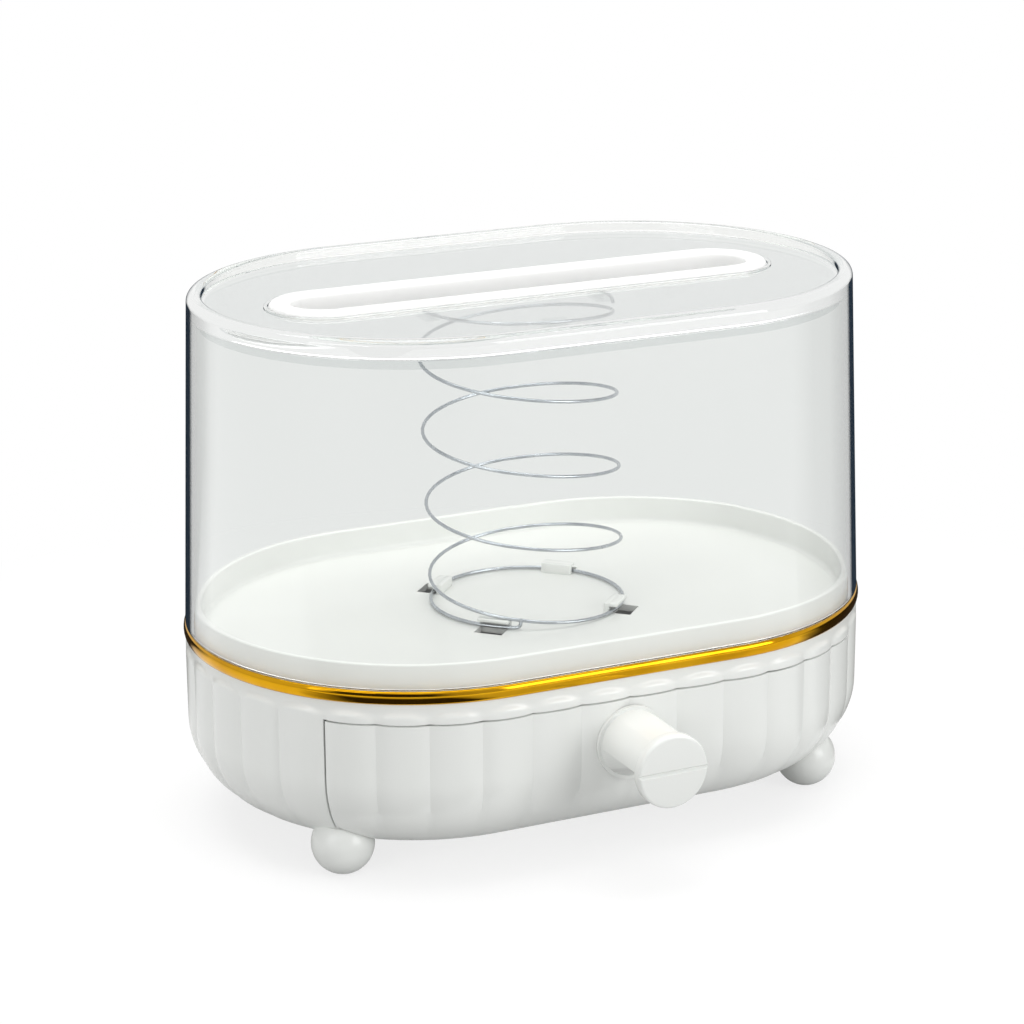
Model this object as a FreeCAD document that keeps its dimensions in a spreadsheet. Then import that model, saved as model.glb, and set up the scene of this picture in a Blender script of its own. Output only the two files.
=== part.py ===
import FreeCAD, Part
import math
import os
import Sketcher
from FreeCAD import Placement, Rotation, Vector

# Tissue box holder. A fluted base on four ball feet holds a drawer and carries a
# deck. A see-through cover slips over the deck's rim. Inside it a wire coil spring
# pushes a clear plate, with the tissues on it, up to the slot in the cover's top.
# Millimetres, +Z up, +X along the holder, the drawer opens towards -Y.

doc = FreeCAD.newDocument("tissue_box_holder")

# Driving dimensions: name, value, meaning
SIZES = [
    # Plan shared by every ring-shaped piece, and the plated band
    ("straight_half", 37.0, "half of each straight side"),
    ("band_radius", 72.8, "end radius of the plated band, outside"),
    ("band_width", 3.4, "width of the band across its section"),
    ("band_height", 4.0, "height of the band"),
    ("band_round", 0.7, "rounding of the band's outer edges"),
    # Base
    ("foot_rise", 9.0, "underside of the base above the table"),
    ("base_height", 50.5, "underside of the base up to the band"),
    ("base_step", 0.2, "band stands out past the base"),
    ("base_wall", 2.6, "wall of the base"),
    ("base_round", 25.0, "rounding under the base"),
    ("flute_count", 38, "flutes round the base"),
    ("flute_depth", 1.0, "depth of the groove between two flutes"),
    ("flute_width", 7.0, "width of the groove between two flutes"),
    ("flute_strip", 3.0, "plain strip between the band and the flutes"),
    ("flute_sweep", 62.0, "how far a groove runs round under the base, in degrees"),
    # Drawer front and its opening
    ("front_flutes", 6, "flutes of the drawer front each side of its middle"),
    ("front_drop", 6.5, "strip of the base left above the drawer front"),
    ("front_return", 22.0, "how far the drawer front turns in under the base"),
    ("front_gap", 0.6, "gap round the drawer front"),
    # Drawer box
    ("box_gap", 1.2, "drawer box to the inside of the front and the base"),
    ("box_wall", 1.8, "wall of the drawer box"),
    ("box_side_gap", 9.8, "side of the drawer box to the middle of the feet"),
    ("box_drop", 3.0, "top of the drawer box below the opening's top edge"),
    ("drawer_travel", 90.0, "how far the drawer pulls out"),
    ("stop_tab_length", 6.0, "length of the stop tabs on the drawer box"),
    ("stop_tab_rise", 6.0, "height of the stop tabs on the drawer box"),
    ("stop_slack", 1.0, "room left at the stop tabs"),
    ("rail_wall", 2.0, "thickness of the drawer rails in the base"),
    ("rail_rise", 10.0, "height of the drawer rails above the base's floor"),
    ("rail_gap", 0.4, "drawer box to its rails"),
    ("rail_front", 33.0, "front end of the rails before the middle"),
    ("rail_back", 46.0, "back end of the rails behind the middle"),
    ("rib_place", 50.0, "ribs that carry the drawer box, each side of the middle"),
    ("rib_half_length", 44.0, "half of the length of those ribs"),
    ("rib_gap", 0.2, "drawer box to those ribs"),
    # Drawer knob
    ("knob_height", 39.4, "knob's axis above the table"),
    ("knob_reach", 27.4, "knob's face beyond the drawer front"),
    ("knob_radius", 11.3, "radius of the knob's disc"),
    ("knob_disc", 3.6, "thickness of the knob's disc"),
    ("knob_flange_radius", 11.4, "radius of the knob's flange"),
    ("knob_flange", 1.2, "thickness of the knob's flange"),
    ("knob_stem_radius", 10.4, "radius of the knob between flange and disc"),
    ("finger_radius", 6.8, "radius left of the knob above the finger recess"),
    ("knob_round", 0.8, "rounding of the knob's edges"),
    ("groove_width", 1.5, "groove across the knob's face"),
    ("groove_depth", 0.9, "depth of that groove"),
    # Feet
    ("foot_radius", 9.6, "radius of a ball foot"),
    ("foot_flat", 0.3, "depth of the flat under a ball foot"),
    ("foot_inset", 14.02, "middle of a ball foot inside the base's wall"),
    ("foot_turn", 43.06, "feet round the ends of the plan, in degrees"),
    ("foot_seat", 0.05, "ball foot to the base above it"),
    ("foot_relief", 0.5, "drawer front to the feet and their pads"),
    ("pad_radius", 6.0, "radius of the pad of the base above a foot"),
    ("pad_rise", 7.5, "top of that pad above the underside of the base"),
    ("pad_step", 0.4, "ledge of the base round the foot of that pad"),
    # Deck
    ("deck_gap", 0.5, "deck's rim to the cover and the band"),
    ("deck_wall", 2.0, "wall of the deck's rim"),
    ("deck_floor", 2.0, "thickness of the deck's floor"),
    ("deck_rise", 3.0, "top of the deck's floor above the band's underside"),
    ("rim_rise", 8.5, "height of the rim above the deck's floor"),
    ("skirt_drop", 2.5, "deck's skirt below the band"),
    ("skirt_gap", 0.3, "deck's skirt to the base's wall"),
    ("post_inset", 17.24, "deck screws inside the base's wall"),
    ("post_turn", 16.8, "deck screws round the ends of the plan, in degrees"),
    ("post_radius", 4.0, "radius of the posts that carry the deck"),
    ("post_drop", 7.5, "top of the posts below the band"),
    # Spring and its hooks
    ("spring_radius", 30.1, "radius of the coil, to the wire's middle"),
    ("wire", 1.1, "diameter of the spring wire"),
    ("spring_lean", 3.4, "how far the coil leans to the left at its top"),
    ("active_turns", 4.16, "turns of the coil between its two flat ends"),
    ("low_turn", 0.8, "flat turn at the bottom, as a share of a turn"),
    ("high_turn", 0.78, "flat turn at the top, as a share of a turn"),
    ("ease_turn", 0.18, "share of a turn in which the coil leaves a flat end"),
    ("wire_gap", 0.2, "flat turns of the wire to the deck and the plate"),
    ("hook_width", 10.0, "width of a deck hook along the wire"),
    ("hook_post", 1.8, "thickness of a hook's post"),
    ("hook_lip", 1.2, "thickness of a hook's lip"),
    ("hook_room", 2.0, "height under a hook's lip"),
    ("hook_cover", 1.2, "hook's lip reaches past the wire's middle"),
    ("hook_inset", 1.5, "post of a hook inside the wire's middle"),
    ("shutoff_length", 9.0, "length of the hole under a deck hook"),
    ("shutoff_width", 6.8, "width of the hole under a deck hook"),
    ("clip_width", 8.0, "width of a clip of the lift plate"),
    # Lift plate
    ("plate_thick", 2.0, "thickness of the lift plate"),
    ("plate_gap", 1.2, "lift plate to the cover's wall"),
    ("plate_stop", 0.4, "lift plate to the bezel above it"),
    ("plate_travel", 80.0, "how far the lift plate is pressed down"),
    # Cover
    ("cover_step", 0.6, "cover stands back from the band"),
    ("cover_wall", 2.8, "wall of the cover"),
    ("cover_height", 103.0, "height of the cover"),
    ("cover_lean", 4.0, "cover's walls lean in over their height"),
    ("cover_round", 2.5, "rounding of the cover's top edge"),
    ("cover_top", 2.5, "thickness of the cover's top"),
    ("top_recess", 3.0, "top lies below the rim round it"),
    ("top_rim", 4.4, "width of the rim round the top"),
    ("recess_round", 1.2, "rounding at the foot of that rim"),
    ("cover_travel", 105.0, "how far the cover lifts to come clear"),
    # Slot bezel in the cover's top
    ("bezel_straight_half", 66.0, "half of the bezel's straight side"),
    ("bezel_radius", 16.5, "end radius of the bezel, outside"),
    ("bezel_lip", 6.3, "width of the bezel's lip"),
    ("bezel_rise", 1.8, "bezel's lip above the cover's top"),
    ("bezel_round", 1.5, "rounding of the bezel's lip"),
    ("bezel_wall", 1.8, "wall of the bezel's neck"),
    ("bezel_below", 1.2, "bezel's neck below the cover's top plate"),
    ("bezel_gap", 0.2, "bezel's neck to the slot in the cover"),
    ("seat_gap", 0.3, "bezel's lip to the seat rib round it"),
    ("seat_width", 1.2, "width of the seat rib"),
    ("seat_rise", 0.8, "height of the seat rib"),
    # Screws: shank and head radius, head height, and their holes
    ("shank_radius", 1.45, "radius of a screw's shank"),
    ("head_radius", 2.7, "radius of a screw's head"),
    ("head_height", 2.0, "height of a screw's head"),
    ("pilot_gap", 0.05, "screw shank to the hole it cuts into"),
    ("clear_gap", 0.3, "screw shank to a hole it passes through"),
    ("shoulder", 4.0, "thickness under the head of a deck screw"),
    ("deck_screw_length", 10.0, "shank of a deck screw"),
    ("foot_screw_length", 9.0, "shank of a foot screw"),
    ("front_screw_length", 4.6, "shank of a drawer front screw"),
    ("front_screw_place", 27.0, "drawer front screws each side of the middle"),
    ("front_pad_radius", 5.0, "pads between the drawer front and its box"),
    ("knob_screw_length", 14.0, "shank of the knob screw"),
]

sheet = doc.addObject("Spreadsheet::Sheet", "dims")
for row, (alias, value, meaning) in enumerate(SIZES, start=1):
    sheet.set(f"A{row}", meaning)
    sheet.set(f"B{row}", str(value))
    sheet.setAlias(f"B{row}", alias)
doc.recompute()
ALIASES = {alias for alias, value, meaning in SIZES}

# Heights, radii and clearances that follow from the driving dimensions
FOLLOWING = [
    ("base_radius", "dims.band_radius - dims.base_step"),
    ("foot_place_x", "dims.straight_half + (base_radius - dims.foot_inset) * cos(dims.foot_turn)"),
    ("foot_place_y", "(base_radius - dims.foot_inset) * sin(dims.foot_turn)"),
    ("post_place_x", "dims.straight_half + (base_radius - dims.post_inset) * cos(dims.post_turn)"),
    ("post_place_y", "(base_radius - dims.post_inset) * sin(dims.post_turn)"),
    ("box_half_width", "foot_place_x - dims.box_side_gap"),
    ("band_z", "dims.foot_rise + dims.base_height"),
    ("band_top_z", "band_z + dims.band_height"),
    ("band_inner", "dims.band_radius - dims.band_width"),
    ("origin_shift", "(base_radius + dims.knob_reach - dims.band_radius) / 2"),
    ("flute_pitch", "(2 * pi * base_radius + 4 * dims.straight_half) / dims.flute_count"),
    ("opening_z", "band_z - dims.front_drop"),
    ("box_inset", "dims.base_wall + dims.box_gap"),
    ("box_top_z", "opening_z - dims.box_drop"),
    ("inner_radius", "base_radius - dims.base_wall"),
    ("floor_z", "dims.foot_rise + dims.base_wall"),
    ("foot_z", "dims.foot_radius - dims.foot_flat"),
    ("pad_z", "dims.foot_rise + dims.pad_rise"),
    ("post_z", "band_z - dims.post_drop"),
    ("cover_radius", "dims.band_radius - dims.cover_step"),
    ("cover_top_z", "band_top_z + dims.cover_height"),
    ("cover_top_radius", "cover_radius - dims.cover_lean"),
    ("recess_z", "cover_top_z - dims.top_recess"),
    ("ceiling_z", "recess_z - dims.cover_top"),
    ("ceiling_lean", "dims.cover_lean * (ceiling_z - band_top_z) / dims.cover_height"),
    ("cavity_radius", "cover_radius - dims.cover_wall"),
    ("ceiling_radius", "cavity_radius - ceiling_lean"),
    ("rim_radius", "cavity_radius - dims.deck_gap"),
    ("deck_floor_z", "band_z + dims.deck_rise"),
    ("deck_under_z", "deck_floor_z - dims.deck_floor"),
    ("rim_z", "deck_floor_z + dims.rim_rise"),
    ("skirt_z", "band_z - dims.skirt_drop"),
    ("skirt_radius", "inner_radius - dims.skirt_gap"),
    ("bezel_inner", "dims.bezel_radius - dims.bezel_lip"),
    ("neck_radius", "bezel_inner + dims.bezel_wall"),
    ("slot_radius", "neck_radius + dims.bezel_gap"),
    ("bezel_z", "ceiling_z - dims.bezel_below"),
    ("seat_inner", "dims.bezel_radius + dims.seat_gap"),
    ("plate_top_z", "bezel_z - dims.plate_stop"),
    ("plate_z", "plate_top_z - dims.plate_thick"),
    ("plate_radius", "ceiling_radius - dims.plate_gap"),
    ("low_wire_z", "deck_floor_z + dims.wire_gap + dims.wire / 2"),
    ("high_wire_z", "plate_z - dims.wire_gap - dims.wire / 2"),
    ("pilot_radius", "dims.shank_radius + dims.pilot_gap"),
    ("clear_radius", "dims.shank_radius + dims.clear_gap"),
]

derived = doc.addObject("App::VarSet", "derived")
for name, rule in FOLLOWING:
    derived.addProperty("App::PropertyFloat", name)
    derived.setExpression(name, rule)
doc.recompute()


def value(name):
    """A driving or following dimension as a number."""
    if name in ALIASES:
        return float(sheet.get(name))
    return float(getattr(derived, name))


def bound(name):
    """The same dimension as an expression that a property can be bound to."""
    if name in ALIASES:
        return "dims." + name
    return "derived." + name


def new_body(label):
    """A body whose frame is the holder's: x and y from the middle of the plan."""
    body = doc.addObject("PartDesign::Body", label)
    body.Label = label
    body.setExpression("Placement.Base.y", bound("origin_shift"))
    return body


def new_sketch(body, label, height=None, role="XY_Plane"):
    """A sketch on one of the body's own planes, raised by a named height."""
    sketch = body.newObject("Sketcher::SketchObject", label)
    plane = [item for item in body.Origin.OriginFeatures if item.Role == role][0]
    sketch.AttachmentSupport = [(plane, "")]
    sketch.MapMode = "FlatFace"
    if height:
        sketch.setExpression("AttachmentOffset.Base.z", height)
    return sketch


def bind(sketch, constraint, name, expression):
    """Adds one constraint under a name and binds it."""
    index = sketch.addConstraint(constraint)
    sketch.renameConstraint(index, name)
    sketch.setExpression("Constraints." + name, expression)


def add_stadium(sketch, half, radius, tag):
    """Two half circles joined by straight sides, centred on the sketch's origin."""
    rough_half = 40.0
    rough_radius = 50.0
    right = sketch.addGeometry(Part.ArcOfCircle(
        Part.Circle(Vector(rough_half, 0, 0), Vector(0, 0, 1), rough_radius),
        -math.pi / 2, math.pi / 2))
    far = sketch.addGeometry(Part.LineSegment(
        Vector(rough_half, rough_radius, 0), Vector(-rough_half, rough_radius, 0)))
    left = sketch.addGeometry(Part.ArcOfCircle(
        Part.Circle(Vector(-rough_half, 0, 0), Vector(0, 0, 1), rough_radius),
        math.pi / 2, 3 * math.pi / 2))
    near = sketch.addGeometry(Part.LineSegment(
        Vector(-rough_half, -rough_radius, 0), Vector(rough_half, -rough_radius, 0)))
    for first, second in ((right, far), (far, left), (left, near), (near, right)):
        sketch.addConstraint(Sketcher.Constraint("Tangent", first, 2, second, 1))
    sketch.addConstraint(Sketcher.Constraint("PointOnObject", right, 3, -1))
    sketch.addConstraint(Sketcher.Constraint("PointOnObject", left, 3, -1))
    sketch.addConstraint(Sketcher.Constraint("Equal", right, left))
    bind(sketch, Sketcher.Constraint("DistanceX", -1, 1, right, 3, rough_half), tag + "_right", half)
    bind(sketch, Sketcher.Constraint("DistanceX", left, 3, -1, 1, rough_half), tag + "_left", half)
    bind(sketch, Sketcher.Constraint("Radius", right, rough_radius), tag + "_radius", radius)


def add_circle(sketch, x_at, y_at, radius, tag, signs=(1, 1)):
    """A circle placed by two named distances from the sketch's origin."""
    sign_x, sign_y = signs
    circle = sketch.addGeometry(Part.Circle(Vector(20 * sign_x, 20 * sign_y, 0), Vector(0, 0, 1), 2.0))
    bind(sketch, Sketcher.Constraint("Radius", circle, 2.0), tag + "_radius", radius)
    for axis, sign, distance in (("DistanceX", sign_x, x_at), ("DistanceY", sign_y, y_at)):
        if distance is None:
            line = -2 if axis == "DistanceX" else -1
            sketch.addConstraint(Sketcher.Constraint("PointOnObject", circle, 3, line))
            continue
        ends = (-1, 1, circle, 3) if sign > 0 else (circle, 3, -1, 1)
        bind(sketch, Sketcher.Constraint(axis, *ends, 20.0), tag + "_" + axis, distance)


def add_outline(sketch, corners):
    """A closed outline of straight lines. A corner is two expressions, measured from the origin."""
    count = len(corners)
    rough = [(10.0 + 3.0 * math.cos(2 * math.pi * k / count), 10.0 + 3.0 * math.sin(2 * math.pi * k / count))
             for k in range(count)]
    lines = []
    for k in range(count):
        start = Vector(*rough[k], 0)
        end = Vector(*rough[(k + 1) % count], 0)
        lines.append(sketch.addGeometry(Part.LineSegment(start, end)))
    for k in range(count):
        sketch.addConstraint(Sketcher.Constraint("Coincident", lines[k], 2, lines[(k + 1) % count], 1))
    for k, (x_at, y_at) in enumerate(corners):
        for axis, place in (("DistanceX", x_at), ("DistanceY", y_at)):
            line = -2 if axis == "DistanceX" else -1
            if place == "0":
                sketch.addConstraint(Sketcher.Constraint("PointOnObject", lines[k], 1, line))
                continue
            text = f"corner_{k}_{axis}"
            if place.startswith("-"):
                bind(sketch, Sketcher.Constraint(axis, lines[k], 1, -1, 1, 10.0), text, place[1:])
            else:
                bind(sketch, Sketcher.Constraint(axis, -1, 1, lines[k], 1, 10.0), text, place)


def pad(body, sketch, length, label, down=False):
    feature = body.newObject("PartDesign::Pad", label)
    feature.Profile = sketch
    feature.setExpression("Length", length)
    feature.Reversed = down
    sketch.Visibility = False
    return feature


def pocket(body, sketch, length, label, up=False):
    feature = body.newObject("PartDesign::Pocket", label)
    feature.Profile = sketch
    feature.setExpression("Length", length)
    feature.Reversed = up
    sketch.Visibility = False
    return feature


def round_edges(body, feature, radius, label, chosen):
    """A fillet on the edges of a feature that the test chooses."""
    doc.recompute()
    names = [f"Edge{k}" for k, edge in enumerate(feature.Shape.Edges, start=1) if chosen(edge)]
    fillet = body.newObject("PartDesign::Fillet", label)
    fillet.Base = (feature, names)
    fillet.setExpression("Radius", radius)
    return fillet


def lies_at(edge, height):
    """True for an edge that lies level at a height."""
    box = edge.BoundBox
    return abs(box.ZMin - height) < 0.01 and abs(box.ZMax - height) < 0.01


def reach(edge):
    """How far an edge lies from the middle of the plan across the holder, at its widest."""
    box = edge.BoundBox
    return max(abs(box.YMin), abs(box.YMax))


def stadium_face(radius, height):
    """The shared plan at an end radius, as a level face."""
    half = value("straight_half")
    corners = [Vector(half, -radius, height), Vector(half, radius, height),
               Vector(-half, radius, height), Vector(-half, -radius, height)]
    right = Part.Arc(corners[0], Vector(half + radius, 0, height), corners[1]).toShape()
    far = Part.LineSegment(corners[1], corners[2]).toShape()
    left = Part.Arc(corners[2], Vector(-half - radius, 0, height), corners[3]).toShape()
    near = Part.LineSegment(corners[3], corners[0]).toShape()
    return Part.Face(Part.Wire([right, far, left, near]))


def rounded_block(inset, top):
    """The base's form, drawn in by an inset: upright sides, rounded underneath."""
    radius = value("base_radius") - inset
    bottom = value("foot_rise") + inset
    block = stadium_face(radius, bottom).extrude(Vector(0, 0, top - bottom))
    low = [edge for edge in block.Edges if lies_at(edge, bottom)]
    return block.makeFillet(value("base_round") - inset, low)


def groove_directions(count_from, count_to):
    """Foot, on the plan's middle line, and outward angle of each groove between two flutes."""
    half = value("straight_half")
    radius = value("base_radius")
    round_end = math.pi * radius
    found = []
    for k in range(count_from, count_to):
        along = k * value("flute_pitch") % (2 * round_end + 4 * half)
        if along <= half:
            found.append((along, -90.0))
        elif along <= half + round_end:
            found.append((half, -90.0 + math.degrees((along - half) / radius)))
        elif along <= 3 * half + round_end:
            found.append((2 * half + round_end - along, 90.0))
        elif along <= 3 * half + 2 * round_end:
            found.append((-half, 90.0 + math.degrees((along - 3 * half - round_end) / radius)))
        else:
            found.append((along - 4 * half - 2 * round_end, -90.0))
    return found


def groove_cutter():
    """A three-sided bar that runs down the wall and round under it, outward along +X."""
    radius = value("base_radius")
    depth = value("flute_depth")
    spill = 0.5
    slope = value("flute_width") / 2 / depth
    wide = slope * (depth + spill)
    turn_z = value("foot_rise") + value("base_round")
    section = Part.Face(Part.makePolygon([
        Vector(radius - depth, 0, turn_z), Vector(radius + spill, wide, turn_z),
        Vector(radius + spill, -wide, turn_z), Vector(radius - depth, 0, turn_z)]))
    upright = section.extrude(Vector(0, 0, value("band_z") - value("flute_strip") - turn_z))
    centre = Vector(radius - value("base_round"), 0, turn_z)
    turned = section.revolve(centre, Vector(0, 1, 0), value("flute_sweep"))
    return upright.fuse(turned)


def fluted_block():
    """The base's form with the grooves between its flutes cut in."""
    cutter = groove_cutter()
    bars = []
    for foot, angle in groove_directions(0, int(value("flute_count"))):
        bar = cutter.copy()
        bar.rotate(Vector(0, 0, 0), Vector(0, 0, 1), angle)
        bar.translate(Vector(foot, 0, 0))
        bars.append(bar)
    return rounded_block(0.0, value("band_z")).cut(bars)


def front_region(gap):
    """The space of the drawer front: between two radial planes, up to the opening's top edge."""
    half = value("straight_half")
    along = value("front_flutes") * value("flute_pitch") - half
    angle = along / value("base_radius")
    far = 2 * value("base_radius")
    outward = Vector(math.sin(angle), -math.cos(angle), 0)
    inward_side = Vector(-math.cos(angle), -math.sin(angle), 0)
    top = value("opening_z") - gap
    start = Vector(half, 0, 0) + inward_side * gap
    end = start + outward * far
    corners = [start, end, Vector(-end.x, end.y, 0), Vector(-start.x, start.y, 0), start]
    region = Part.Face(Part.makePolygon(corners)).extrude(Vector(0, 0, top))
    kept_radius = value("base_radius") - value("front_return") + gap
    kept = stadium_face(kept_radius, 0).extrude(Vector(0, 0, top))
    return region.cut(kept)


def foot_places():
    """Plan positions of the four feet, with their names."""
    x_at = value("foot_place_x")
    y_at = value("foot_place_y")
    return {
        "foot_front_left": (-x_at, -y_at),
        "foot_front_right": (x_at, -y_at),
        "foot_back_left": (-x_at, y_at),
        "foot_back_right": (x_at, y_at),
    }


def pad_lane(place, radius, top):
    """A pad above a front foot, drawn out backwards, the way that the drawer front passes it."""
    x_at, y_at = place
    column = Part.makeCylinder(radius, top, Vector(x_at, y_at, 0))
    lane = Part.makeBox(2 * radius, -y_at, top, Vector(x_at - radius, y_at, 0))
    return column.fuse(lane)


def front_lanes(relief, ball_relief):
    """Lanes that the drawer front leaves for the front feet and their pads."""
    lanes = []
    for name, place in foot_places().items():
        if "front" in name:
            lanes.append(pad_lane(place, value("pad_radius") + relief, value("opening_z")))
            if ball_relief is not None:
                x_at, y_at = place
                radius = value("foot_radius") + ball_relief
                centre = Vector(x_at, y_at, value("foot_z"))
                lanes.append(Part.makeSphere(radius, centre))
                lanes.append(Part.makeCylinder(radius, -y_at, centre, Vector(0, 1, 0)))
    return lanes


def screw(shank_length):
    """A screw along +Z: a round head from the origin down, with a driving slot, and a shank up."""
    radius = value("head_radius")
    height = value("head_height")
    head = Part.makeCylinder(radius, height, Vector(0, 0, -height))
    slot_width = radius / 3
    slot = Part.makeBox(2 * radius, slot_width, height / 2, Vector(-radius, -slot_width / 2, -height))
    shank = Part.makeCylinder(value("shank_radius"), shank_length)
    return head.cut(slot).fuse(shank).removeSplitter()


def new_feature(label, shape):
    """A piece whose shape is worked out above, placed in the holder's frame."""
    feature = doc.addObject("Part::Feature", label)
    feature.Label = label
    feature.Shape = shape
    feature.Placement = Placement(Vector(0, value("origin_shift"), 0), Rotation())
    return feature


# Base shell: a fluted cup with an opening for the drawer front, rails for the drawer
# box, pads above the feet and four hollow posts that carry the deck
def make_base_shell(fluted):
    rooted = rounded_block(value("base_wall") / 2, value("band_z"))
    shell = fluted.cut(rounded_block(value("base_wall"), value("band_z") + 1))
    opening = front_region(-value("front_gap") / 2)
    for lane in front_lanes(0.0, None):
        opening = opening.cut(lane)
    shell = shell.cut(opening)
    additions = []
    pad_radius = value("pad_radius") - value("pad_step")
    for x_at, y_at in foot_places().values():
        additions.append(Part.makeCylinder(pad_radius, value("pad_z"), Vector(x_at, y_at, 0)))
    for sign_x in (-1, 1):
        for sign_y in (-1, 1):
            place = Vector(sign_x * value("post_place_x"), sign_y * value("post_place_y"), 0)
            additions.append(Part.makeCylinder(value("post_radius"), value("post_z"), place))
        rail_x = value("box_half_width") + value("rail_gap")
        low_x = rail_x if sign_x > 0 else -rail_x - value("rail_wall")
        length = value("rail_front") + value("rail_back")
        top = value("floor_z") + value("rail_rise")
        additions.append(Part.makeBox(value("rail_wall"), length, top, Vector(low_x, -value("rail_front"), 0)))
        half = value("rib_half_length")
        top = value("floor_z") + value("box_gap") - value("rib_gap")
        rib_x = sign_x * value("rib_place") - value("rail_wall") / 2
        additions.append(Part.makeBox(value("rail_wall"), 2 * half, top, Vector(rib_x, -half, 0)))
    for addition in additions:
        shell = shell.fuse(addition.common(rooted))
    holes = []
    for x_at, y_at in foot_places().values():
        holes.append(Part.makeCylinder(value("clear_radius"), value("pad_z"), Vector(x_at, y_at, 0)))
    for sign_x in (-1, 1):
        for sign_y in (-1, 1):
            place = Vector(sign_x * value("post_place_x"), sign_y * value("post_place_y"), 0)
            holes.append(Part.makeCylinder(value("clear_radius"), value("post_z"), place))
            deep = value("post_z") - value("shoulder")
            holes.append(Part.makeCylinder(value("head_radius") + value("clear_gap"), deep, place))
    return shell.cut(holes).removeSplitter()


# Drawer front: the piece of fluted wall that fills the opening, with pads behind it
def make_drawer_front(fluted):
    panel = fluted.cut(rounded_block(value("base_wall"), value("band_z") + 1))
    panel = panel.common(front_region(value("front_gap") / 2))
    panel = panel.cut(front_lanes(value("foot_relief"), value("foot_relief")))
    behind = -value("inner_radius")
    for x_at in front_screw_places() + [0.0]:
        start = Vector(x_at, behind - value("base_wall") / 2, value("knob_height"))
        length = value("box_gap") + value("base_wall") / 2
        panel = panel.fuse(Part.makeCylinder(value("front_pad_radius"), length, start, Vector(0, 1, 0)))
    for x_at in front_screw_places():
        inside = Vector(x_at, behind + value("box_gap"), value("knob_height"))
        deep = value("front_screw_length") - value("box_wall")
        panel = panel.cut(Part.makeCylinder(value("pilot_radius"), deep, inside, Vector(0, -1, 0)))
    through = Vector(0, -value("base_radius") - 1, value("knob_height"))
    deep = value("box_inset") + 2
    panel = panel.cut(Part.makeCylinder(value("clear_radius"), deep, through, Vector(0, 1, 0)))
    return panel.removeSplitter()


def front_screw_places():
    return [-value("front_screw_place"), value("front_screw_place")]


# Drawer box: an open box that follows the base's rounding, with stop tabs on its sides
def make_drawer_box():
    top = value("box_top_z")
    half = value("box_half_width")
    wall = value("box_wall")
    long = 4 * value("base_radius")
    outer = rounded_block(value("box_inset"), top)
    outer = outer.common(Part.makeBox(2 * half, long, top, Vector(-half, -long / 2, 0)))
    inner = rounded_block(value("box_inset") + wall, top + 1)
    inner = inner.common(Part.makeBox(2 * (half - wall), long, top + 2, Vector(-half + wall, -long / 2, 0)))
    box = outer.cut(inner)
    side = half - value("straight_half")
    catch_y = -math.sqrt(value("inner_radius") ** 2 - side ** 2)
    tab_y = catch_y + value("drawer_travel") + value("stop_slack")
    for low_x in (-half, half - wall):
        tab = Part.makeBox(wall, value("stop_tab_length"), value("stop_tab_rise"), Vector(low_x, tab_y, top))
        box = box.fuse(tab)
    for x_at in front_screw_places() + [0.0]:
        start = Vector(x_at, -value("base_radius"), value("knob_height"))
        hole = Part.makeCylinder(value("clear_radius"), value("box_inset") + wall + 1, start, Vector(0, 1, 0))
        box = box.cut(hole)
    return box.removeSplitter()


fluted_form = fluted_block()
base_shell = new_feature("base_shell", make_base_shell(fluted_form))
drawer_front = new_feature("drawer_front", make_drawer_front(fluted_form))
drawer_box = new_feature("drawer_box", make_drawer_box())


# Plated band: a ring on top of the base's wall
def make_plated_band():
    body = new_body("plated_band")
    sketch = new_sketch(body, "band_plan", bound("band_z"))
    add_stadium(sketch, bound("straight_half"), bound("band_radius"), "outer")
    add_stadium(sketch, bound("straight_half"), bound("band_inner"), "inner")
    ring = pad(body, sketch, bound("band_height"), "band_ring")
    outside = value("band_radius") - 0.01
    round_edges(body, ring, bound("band_round"), "band_edges",
                lambda edge: reach(edge) > outside and edge.BoundBox.ZLength < 0.01)
    return body


plated_band = make_plated_band()


# Deck: a tray with a raised rim, screw bosses below and four hooks for the spring
def make_deck_tray():
    body = new_body("deck_tray")
    half = bound("straight_half")
    skirt = new_sketch(body, "skirt_plan", bound("skirt_z"))
    add_stadium(skirt, half, bound("skirt_radius"), "skirt")
    pad(body, skirt, bound("skirt_drop") + " - " + bound("skirt_gap"), "skirt_block")
    rim = new_sketch(body, "rim_plan", bound("skirt_z"))
    add_stadium(rim, half, bound("rim_radius"), "rim")
    pad(body, rim, bound("rim_z") + " - " + bound("skirt_z"), "rim_block")
    inside_radius = bound("rim_radius") + " - " + bound("deck_wall")
    well = new_sketch(body, "well_plan", bound("rim_z"))
    add_stadium(well, half, inside_radius, "well")
    pocket(body, well, bound("rim_rise"), "well")
    under = new_sketch(body, "under_plan", bound("skirt_z"))
    add_stadium(under, half, inside_radius, "under")
    pocket(body, under, bound("deck_under_z") + " - " + bound("skirt_z"), "underside", up=True)
    bosses = new_sketch(body, "boss_plan", bound("post_z"))
    pilots = new_sketch(body, "pilot_plan", bound("post_z"))
    for k, signs in enumerate(((-1, -1), (1, -1), (-1, 1), (1, 1))):
        x_at = bound("post_place_x")
        y_at = bound("post_place_y")
        add_circle(bosses, x_at, y_at, bound("post_radius"), f"boss_{k}", signs)
        add_circle(pilots, x_at, y_at, bound("pilot_radius"), f"pilot_{k}", signs)
    pad(body, bosses, bound("deck_under_z") + " - " + bound("post_z"), "bosses")
    doc.recompute()
    pilot_depth = f"{bound('deck_under_z')} - {bound('post_z')} + {bound('deck_floor')} / 2"
    pocket(body, pilots, pilot_depth, "pilot_holes", up=True)
    for k in range(4):
        add_hook(body, 45.0 + 90.0 * k, k)
    return body


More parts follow.
